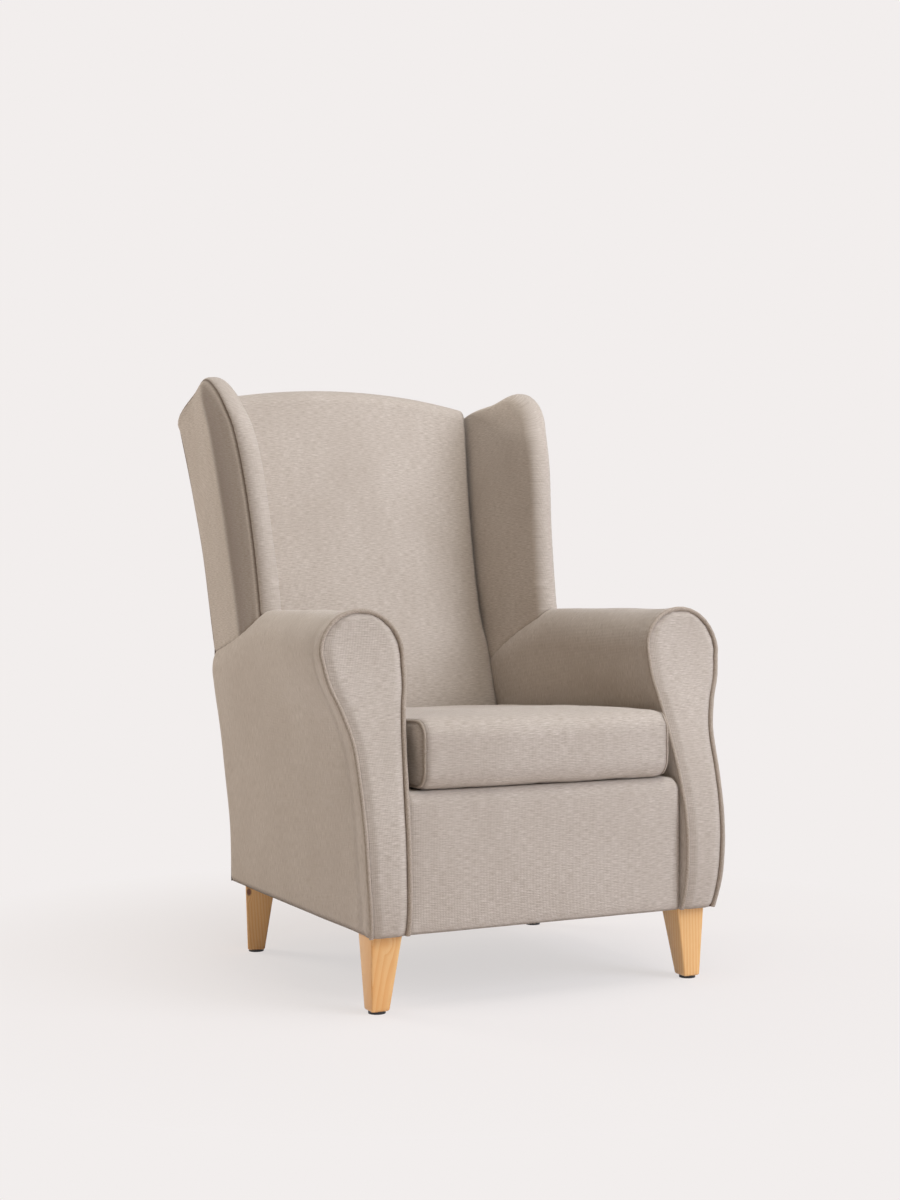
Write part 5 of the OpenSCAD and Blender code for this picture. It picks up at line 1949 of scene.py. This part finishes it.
    def from_seam(self, rest: np.ndarray) -> np.ndarray:
        """Distance of points from the seam: the root of the squares of two distances inwards.

        One is that from the side panel, the other that from the wrapped cloth's outline.

        Args:
            rest: points of the start box, in the chair's millimetres.

        Returns:
            The distances.
        """
        v = (rest[:, 1] - self.middle_y) / (self.depth / 2)
        half = (self.width / 2 - self.start_in) * (1.0 - self.draw / (self.width / 2) * v * v)
        side = half - np.abs(rest[:, 0])
        dy = self.depth / 2 - self.start_in - np.abs(rest[:, 1] - self.middle_y)
        level = rest[:, 2] - self.low - self.height / 2
        tall = self.height / 2 - self.fall * np.clip((v + 1.0) / 2, 0, 1)
        level = np.where(level > 0, level * self.height / 2 / tall, -level)
        dz = self.height / 2 - self.start_in - level
        radius = np.where(v < 0, self.front_r, self.rear_r)
        corner = np.hypot(np.maximum(radius - dy, 0), np.maximum(radius - dz, 0))
        wrap = np.where((dy < radius) & (dz < radius), radius - corner, np.minimum(dy, dz))
        return np.hypot(np.maximum(side, 0), np.maximum(wrap, 0))

    def settle(self, rest: np.ndarray, blown: np.ndarray, normals: np.ndarray) -> np.ndarray:
        """Cap the swelling, hold the seams back, and lay the underside on the deck.

        Args:
            rest: start points, in the chair's millimetres.
            blown: points after the cloth solver, in the same.
            normals: outward normals of the start.

        Returns:
            The finished points.
        """
        move = blown - rest
        outward = (move * normals).sum(axis=1)
        slide = move - normals * outward[:, None]
        near = self.from_seam(rest)
        hold = 1.0 - 0.8 * hill(near, 0.0, 20.0)
        # The foam lets the cloth swell a little, and not sink
        swell = self.wadding + np.clip(outward * self.give, -self.sink, self.cap) * hold
        out = rest + normals * swell[:, None] + slide * self.slide * hold[:, None]
        soft = self.uneven * undulation(rest, 120.0, 51) * ease(near / 30.0)
        run = rest[:, 1] + rest[:, 2]
        waves = np.sin(run / 3.4 + np.sin(run / 29.0))
        for rise in (soft, self.gather * waves * hill(near, 9.0, 12.0)):
            out = out + normals * rise[:, None]
        out[:, 2] = np.maximum(out[:, 2], self.low + 0.2)
        out[:, 1] = np.minimum(out[:, 1], self.front + self.depth - 0.4)
        return out

    def seam_path(
        self, tree: BVHTree, side: Side, count: int
    ) -> tuple[np.ndarray, np.ndarray, np.ndarray]:
        """Where the side panel is sewn on: the outline, dropped onto the finished cloth.

        Args:
            tree: the finished cloth, in metres.
            side: which side panel.
            count: number of points.

        Returns:
            Points, directions along the seam, and outward normals, all in the frame's axes.
        """
        y, z = self.profile(np.array([[0.0]]), 40)
        loop = self.shaped(np.stack([np.full(y.shape[1], self.width / 2), y[0], z[0]], -1))
        closed = np.concatenate([loop, loop[:1]])
        run = np.concatenate([[0.0], np.cumsum(np.linalg.norm(np.diff(closed, axis=0), axis=1))])
        even = np.linspace(0.0, run[-1], count, endpoint=False)
        loop = np.stack([np.interp(even, run, closed[:, k]) for k in range(3)], -1)
        loop = loop * np.array([side.value, 1.0, 1.0])
        # Each point looks for the cloth from just outside, along the diagonal of the edge
        core = loop.copy()
        core[:, 0] -= side.value * self.aim_in
        core[:, 1] = np.clip(core[:, 1], self.front + self.aim_in,
            self.front + self.depth - self.aim_in)
        half = self.height / 2
        core[:, 2] = self.low + half + np.clip(core[:, 2] - self.low - half,
            self.aim_in - half, half - self.aim_in)
        aim = core - loop
        aim /= np.linalg.norm(aim, axis=1, keepdims=True)
        origin = self.lines.placed(loop - aim * 30.0)
        hits = [tree.ray_cast(Vector(o), Vector(a))[0] for o, a in zip(origin, aim)]
        points = np.array([list(o if hit is None else hit) for hit, o in zip(hits, origin)])
        normals = -aim
        for _ in range(2):
            points = (np.roll(points, 1, 0) + 2 * points + np.roll(points, -1, 0)) / 4
        along = np.roll(points, -1, 0) - np.roll(points, 1, 0)
        along /= np.linalg.norm(along, axis=1, keepdims=True)
        normals -= along * (normals * along).sum(axis=1, keepdims=True)
        normals /= np.linalg.norm(normals, axis=1, keepdims=True)
        return points, along, normals

    def seam_ridge(self, tree: BVHTree, side: Side) -> None:
        """Sew a side panel on: a low ridge of folded cloth with a row of stitches beside it.

        Args:
            tree: the finished cloth, in metres.
            side: which side panel.
        """
        points, along, normals = self.seam_path(tree, side, 420)
        across = np.cross(along, normals)
        section = ring(self.seam_r, self.seam_r * 0.8, 8) * MM
        tube = sweep(points, across, normals, section)
        count, cols = tube.shape[:2]
        flat = tube.reshape(-1, 3)
        # One row more than the tube has, whose points are those of the first row again
        quads, corners = grid_faces(count + 1, cols, True)
        quads = quads % len(flat)
        run = np.arange(count + 1) * np.linalg.norm(points[1] - points[0])
        turn = np.arange(cols + 1) * self.seam_r * MM * 0.8
        cloth = np.stack(np.meshgrid(run, turn, indexing="ij"), -1).reshape(-1, 2)
        a, b, d = flat[quads[0, 0]], flat[quads[0, 1]], flat[quads[0, 3]]
        if np.dot(np.cross(b - a, d - a), a - points[0]) < 0:
            quads, corners = quads[:, ::-1], corners[:, ::-1]
        obj = write_mesh(f"cushion_seam_{side.label}", flat, quads.tolist(),
            cloth[corners.ravel()], np.zeros(len(flat)))
        self.wardrobe.dress(obj, Slot.taupe_piping, CUSHION)
        self.stitches(points, along, across, normals, side)

    def stitches(
        self, points: np.ndarray, along: np.ndarray, across: np.ndarray, normals: np.ndarray,
        side: Side,
    ) -> None:
        """Rows of stitches on both flanks of a seam, each a short six-sided spindle.

        Args:
            points: points of the seam, in metres.
            along: directions along it.
            across: directions across it.
            normals: outward normals.
            side: which side panel.
        """
        reach = np.array([-self.stitch_half, 0.0, self.stitch_half])
        section = ring(self.stitch_r, self.stitch_r, 6) * np.array([0.25, 1.0, 0.25])[:, None, None]
        local = np.concatenate([np.repeat(reach, 6)[:, None], section.reshape(-1, 2)], 1) * MM
        every = []
        for lane in (-1.0, 1.0):
            base = points + across * lane * self.stitch_off * MM + normals * self.stitch_up * MM
            every.append(
                base[:, None, :]
                + along[:, None, :] * local[None, :, 0:1]
                + across[:, None, :] * local[None, :, 1:2]
                + normals[:, None, :] * local[None, :, 2:3]
            )
        cloud = np.concatenate(every).reshape(-1, 3)
        count = len(points) * 2
        r, c = np.arange(2)[:, None], np.arange(6)[None, :]
        quads = np.stack([r * 6 + c, (r + 1) * 6 + c, (r + 1) * 6 + (c + 1) % 6,
            r * 6 + (c + 1) % 6], -1).reshape(-1, 4)
        start = (np.arange(count) * 18)[:, None, None]
        sides = (start + quads[None]).reshape(-1, 4)
        ends = np.stack([np.arange(6), np.arange(17, 11, -1)])
        caps = (start + ends[None]).reshape(-1, 6)
        obj = write_mesh(f"cushion_stitches_{side.label}", cloud, sides.tolist() + caps.tolist(),
            np.zeros((sides.size + caps.size, 2)), np.full(len(cloud), 0.35))
        shape_up = bmesh.new()
        shape_up.from_mesh(obj.data)
        bmesh.ops.recalc_face_normals(shape_up, faces=shape_up.faces)
        shape_up.to_mesh(obj.data)
        shape_up.free()
        self.wardrobe.dress(obj, Slot.taupe_piping, CUSHION)

    def lay_cloth(self, obj: bpy.types.Object, rest: np.ndarray) -> None:
        """Write cloth coordinates by the way each face looks, and the painted shade by the seams.

        A face that looks along an axis reads its other two coordinates, so the weft runs across
        the chair on the top and front, and along it on the side panels.

        Args:
            obj: the finished piece.
            rest: start points, in the chair's millimetres.
        """
        mesh = obj.data
        totals = read_all(mesh.polygons, "loop_total", 1, np.int32)[:, 0]
        corners = read_all(mesh.loops, "vertex_index", 1, np.int32)[:, 0]
        way = np.repeat(np.abs(read_all(mesh.polygons, "normal")).argmax(axis=1), totals)
        p = rest[corners]
        u = np.where(way == 0, p[:, 1], p[:, 0])
        v = np.where(way == 2, p[:, 1], p[:, 2])
        # Painted shade just inside the seams
        lay_on(mesh, np.stack([u, v], -1) * MM, 0.35 * hill(self.from_seam(rest), 3.0, 5.0))

    def build(self) -> None:
        """Make the cushion, its seams, its zip tape and the coil of the zip."""
        obj = self.remeshed()
        mesh = obj.data
        place = np.array([0.0, self.lines.front_y, 0.0])
        rest = read_all(mesh.vertices, "co") / MM - place
        normals = read_all(mesh.vertices, "normal")
        blown = self.inflate(obj) / MM - place
        done = self.settle(rest, blown, normals)
        mesh.vertices.foreach_set("co", self.lines.placed(done).ravel())
        mesh.shade_smooth()
        mesh.update()
        self.lay_cloth(obj, rest)
        finer = obj.modifiers.new("subdivision", "SUBSURF")
        finer.levels = finer.render_levels = 1
        self.wardrobe.dress(obj, Slot.taupe_fabric, CUSHION, ("cushion_cover",), 0.8)
        tree = BVHTree.FromObject(obj, bpy.context.evaluated_depsgraph_get())
        for side in Side:
            self.seam_ridge(tree, side)
        core = plain_tube(self.start(self.start_in + self.foam_in))
        foam = surface_object("cushion_foam", core, self.lines)
        self.wardrobe.dress(foam, Slot.foam, CUSHION, ("cushion_core",))
        self.zip()

    def zip(self) -> None:
        """Make the zip: a woven tape, and a closed coil wound along its middle."""
        b = self.lines
        low, high = (np.array(v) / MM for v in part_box("zip_tape"))
        x = np.linspace(low[0], high[0], 120)[:, None]
        v = np.linspace(-1.0, 1.0, 13)[None, :]
        middle = (low[2] + high[2]) / 2
        z = middle + v * (high[2] - low[2]) / 2
        y = low[1] - b.front_y + 1.4 - 0.5 * np.abs(v) ** 4
        points = np.stack([x + 0 * z, y + 0 * x, z + 0 * x], -1)
        cloth = np.stack([x + 0 * z, z + 0 * x], -1) * MM
        seam = 0.6 * hill(np.abs(v), 0.72, 0.06) + 0 * x
        obj = surface_object("zip_tape_cloth", Surface(points, cloth, seam), b)
        face_towards(obj, 1, 1)
        thicken(obj, 1.0)
        self.wardrobe.dress(obj, Slot.zip_tape, CUSHION, ("zip_tape",))
        # The coil turns once every 2 mm, coarser than a real one, so that it can be seen
        turns = int((high[0] - low[0]) / self.coil_gap)
        a = np.linspace(0.0, turns * math.tau, turns * 10)
        path = np.stack([np.linspace(low[0] + 2, high[0] - 2, len(a)),
            high[1] - b.front_y - 0.75 + 0.45 * np.cos(a), middle + self.coil_r * np.sin(a)], -1)
        tangent = np.gradient(path, axis=0)
        tangent /= np.linalg.norm(tangent, axis=1, keepdims=True)
        across = np.cross(tangent, np.broadcast_to([1.0, 0.0, 0.0], path.shape))
        across /= np.linalg.norm(across, axis=1, keepdims=True)
        over = np.cross(tangent, across)
        wire = ring(self.coil_wire_r, self.coil_wire_r, 5)
        coil = plain_tube(sweep(path, across, over, wire))
        obj = surface_object("zip_coil", coil, b)
        self.wardrobe.dress(obj, Slot.zip_tape, CUSHION)


@dataclass(frozen=True)
class Legs:
    """Four square legs that taper to the floor, with softened edges."""

    lines: BodyLines
    wardrobe: Wardrobe
    top: float = 52.0
    foot: float = 30.0
    side_taper: float = 3.5
    face_taper: float = 8.0
    front_in: float = 39.0
    rear_in: float = 36.0
    front_y: float = 45.0
    rear_y: float = 61.0
    rear_turn: float = 20.0
    glide: float = 4.0
    edge: float = 3.0

    def surface(self, rear: bool) -> Surface:
        """One leg: a square with rounded corners that shrinks and shifts evenly to the foot.

        Args:
            rear: a rear leg is mirrored in depth and turned about its bolt.

        Returns:
            The closed tube, built for the right hand.
        """
        b = self.lines
        z = np.concatenate([[self.glide, self.glide, self.glide + 1.0, self.glide + 2.5],
            np.linspace(self.glide + 6.0, b.leg_h - 4.0, 24), [b.leg_h - 0.2, b.leg_h, b.leg_h]])
        shrink = np.concatenate([[6.0, 2.5, 0.8, 0.0], np.zeros(25), [0.4, 6.0]])[:, None]
        share = ((z - self.glide) / (b.leg_h - self.glide))[:, None]
        half = mix(self.foot / 2, self.top / 2, share) - shrink
        mid_x = mix(self.top / 2 - self.side_taper - self.foot / 2, 0.0, share)
        mid_y = mix(self.face_taper - self.top / 2 + self.foot / 2, 0.0, share)
        a = np.linspace(0.0, math.pi / 2, 5)
        corner = np.stack([np.cos(a), np.sin(a)], -1)
        turns = [np.array([[c, -s], [s, c]]) for c, s in ((1, 0), (0, 1), (-1, 0), (0, -1))]
        arcs = np.concatenate([corner @ m.T for m in turns])
        signs = np.repeat(np.array([[1, 1], [-1, 1], [-1, -1], [1, -1]]), 5, axis=0)
        radius = min(self.edge, self.foot / 4)
        px = mid_x + (half - radius) * signs[None, :, 0] + radius * arcs[None, :, 0]
        py = mid_y + (half - radius) * signs[None, :, 1] + radius * arcs[None, :, 1]
        if rear:
            py = -py
            turn = math.radians(self.rear_turn)
            px, py = (px * math.cos(turn) - py * math.sin(turn),
                px * math.sin(turn) + py * math.cos(turn))
        x = b.side_x - (self.rear_in if rear else self.front_in) + px
        y = (b.body_d - self.rear_y if rear else self.front_y) + py
        return plain_tube(np.stack([x, y, z[:, None] + 0 * x], -1))

    def build(self) -> None:
        """Make the four legs."""
        for side in Side:
            for rear in (False, True):
                node = f"leg_{'rear' if rear else 'front'}_{side.label}"
                obj = surface_object(f"tapered_{node}", self.surface(rear), self.lines, side)
                self.wardrobe.dress(obj, Slot.lacquered_pine, CHAIR, (node,))


def both(*names: str) -> tuple[str, ...]:
    """Name the parts that come in a left and a right hand.

    Args:
        *names: names without the hand.

    Returns:
        The names with it.
    """
    return tuple(f"{name}_{side.label}" for name in names for side in Side)


@dataclass(frozen=True)
class HiddenFrame:
    """The parts of the frame that keep their solids and take a better finish."""

    wardrobe: Wardrobe
    timber: tuple[str, ...] = ("front_seat_rail", "rear_seat_rail", "corner_blocks",
        "lower_back_rail", *both("side_seat_rail", "front_post", "arm_post", "arm_rail",
        "rear_post"))
    boards: tuple[str, ...] = ("crest_board", *both("scroll_board", "wing_board",
        "facing_board"))
    soft: tuple[str, ...] = ("deck_foam", "back_foam", *both("arm_foam"))
    steel: tuple[str, ...] = ("leg_bolts", "leg_plates", "frame_screws")

    def build(self) -> None:
        """Give each kept part its finish."""
        slots = dict.fromkeys(self.timber, Slot.frame_pine)
        slots |= dict.fromkeys(self.boards, Slot.plywood)
        slots |= dict.fromkeys(self.soft, Slot.foam)
        slots |= dict.fromkeys(self.steel, Slot.zinc_steel)
        slots |= {"leg_glides": Slot.black_plastic, "spring_clips": Slot.black_plastic,
            "seat_springs": Slot.spring_steel, "spring_felt": Slot.grey_felt,
            "back_webbing": Slot.webbing, "zip_slider": Slot.zip_metal,
            "zip_pull": Slot.zip_metal}
        self.wardrobe.repaint(slots)


# Studio


@dataclass(frozen=True)
class Lamp:
    """A square soft lamp that looks at a target; lengths in metres."""

    name: str
    place: tuple[float, float, float]
    size: float
    watts: float
    colour: str
    target: tuple[float, float, float] = (0.0, 0.0, 0.5)

    def build(self) -> None:
        """Add the lamp."""
        data = bpy.data.lights.new(self.name, "AREA")
        data.size = self.size
        data.energy = self.watts
        data.color = linear(self.colour)[:3]
        lamp = link_object(self.name, data)
        lamp.location = self.place
        aim = Vector(self.target) - Vector(self.place)
        lamp.rotation_euler = aim.to_track_quat("-Z", "Y").to_euler()


@dataclass(frozen=True)
class Studio:
    """A pale floor and backdrop, soft lamps, and the camera at the height of the seat."""

    eye: tuple[float, float, float] = (-1.3507, -2.8291, 0.62545)
    azimuth: float = -26.11
    pitch: float = -0.05
    roll: float = -0.22
    focal: float = 52.458
    ground: str = "F2EEED"
    bounce: str = "F3DABF"
    world_strength: float = 0.225
    floor_reach: float = 30.0
    lamps: tuple[Lamp, ...] = (
        Lamp("key", (2.5, -3.5, 2.6), 2.4, 130.0, "EDF2FF"),
        Lamp("side", (-1.9, 2.4, 1.5), 1.3, 42.0, "FFF8F0"),
        Lamp("top", (0.3, -0.9, 3.3), 2.0, 47.0, "FFFFFF", (0.0, 0.1, 0.5)),
    )

    def camera(self) -> None:
        """Place the camera from its azimuth, pitch and roll."""
        a, p, r = (math.radians(v) for v in (self.azimuth, self.pitch, self.roll))
        forward = np.array([-math.sin(a) * math.cos(p), math.cos(a) * math.cos(p), -math.sin(p)])
        right = np.array([math.cos(a), math.sin(a), 0.0])
        up = np.cross(right, forward)
        turned = right * math.cos(r) + up * math.sin(r)
        upward = -right * math.sin(r) + up * math.cos(r)
        data = bpy.data.cameras.new("photo_camera")
        data.lens = self.focal
        data.sensor_width = data.sensor_height = 36.0
        data.sensor_fit = "AUTO"
        data.clip_end = 60.0
        matrix = Matrix(np.stack([turned, upward, -forward], axis=1).tolist()).to_4x4()
        matrix.translation = Vector(self.eye)
        camera = link_object("photo_camera", data)
        camera.matrix_world = matrix
        bpy.context.scene.camera = camera

    @staticmethod
    def looked_at(tree: bpy.types.NodeTree) -> Socket:
        """Tell the rays that see a surface, straight or in metal or glass, from those that light.

        Args:
            tree: the nodes of the floor or the world.

        Returns:
            One for a ray that sees, and nought for any other.
        """
        path = add(tree, "ShaderNodeLightPath").outputs
        seen = join(tree, "MAXIMUM", path["Is Camera Ray"], path["Is Glossy Ray"])
        return join(tree, "MAXIMUM", seen, path["Is Transmission Ray"])

    def floor(self) -> None:
        """A wide floor whose colour passes into the backdrop's, and keeps the chair's shadow."""
        mesh = bpy.data.meshes.new("studio_floor")
        r = self.floor_reach
        mesh.from_pydata([(-r, -r, 0), (r, -r, 0), (r, r, 0), (-r, r, 0)], [], [(0, 1, 2, 3)])
        obj = link_object("studio_floor", mesh)
        material, tree = new_material("matt_paper_floor", Roughness=1.0, Specular_IOR_Level=0.0,
            Base_Color=linear(self.ground))
        # Away from the chair the camera, metal and glass see the backdrop's own colour
        far = add(tree, "ShaderNodeVectorMath", {0: in_place(tree)}, operation="LENGTH")
        share = join(tree, "MULTIPLY", spread(tree, far.outputs["Value"], 0.36, 1.1, 0.72, 1.0),
            self.looked_at(tree))
        glow = add(tree, "ShaderNodeEmission", {"Color": linear(self.ground), "Strength": 1.0})
        shader = tree.nodes["Principled BSDF"]
        both = add(tree, "ShaderNodeMixShader", {0: share, 1: shader.outputs[0],
            2: glow.outputs[0]})
        tree.links.new(both.outputs[0], tree.nodes["Material Output"].inputs["Surface"])
        mesh.materials.append(material)

    def world(self) -> None:
        """An even pale world, dimmer and warmer as a light than it looks behind the chair."""
        world = bpy.data.worlds.new("pale_room")
        bpy.context.scene.world = world
        world.use_nodes = True
        tree = world.node_tree
        back = tree.nodes["Background"].inputs
        seen = self.looked_at(tree)
        tree.links.new(spread(tree, seen, 0.0, 1.0, self.world_strength, 1.0), back["Strength"])
        tree.links.new(blend(tree, seen, linear(self.bounce), linear(self.ground)), back["Color"])

    def build(self) -> None:
        """Set the camera, the floor, the world and the lamps."""
        self.camera()
        self.floor()
        self.world()
        for lamp in self.lamps:
            lamp.build()
        bpy.context.scene.view_settings.view_transform = "Standard"
        LOG.info("studio set")


def main() -> None:
    """Build the chair piece by piece, then the studio round it."""
    logging.basicConfig(level=logging.INFO, format="%(name)s: %(message)s")
    Studio().build()
    lines = BodyLines()
    wardrobe = Wardrobe()
    arms = RolledArms(lines, wardrobe)
    arms.build()
    Wings(lines, wardrobe, arms).build()
    Back(lines, wardrobe).build()
    SeatBase(lines, wardrobe).build()
    SeatCushion(lines, wardrobe).build()
    Legs(lines, wardrobe).build()
    HiddenFrame(wardrobe).build()


if __name__ == "__main__":
    main()
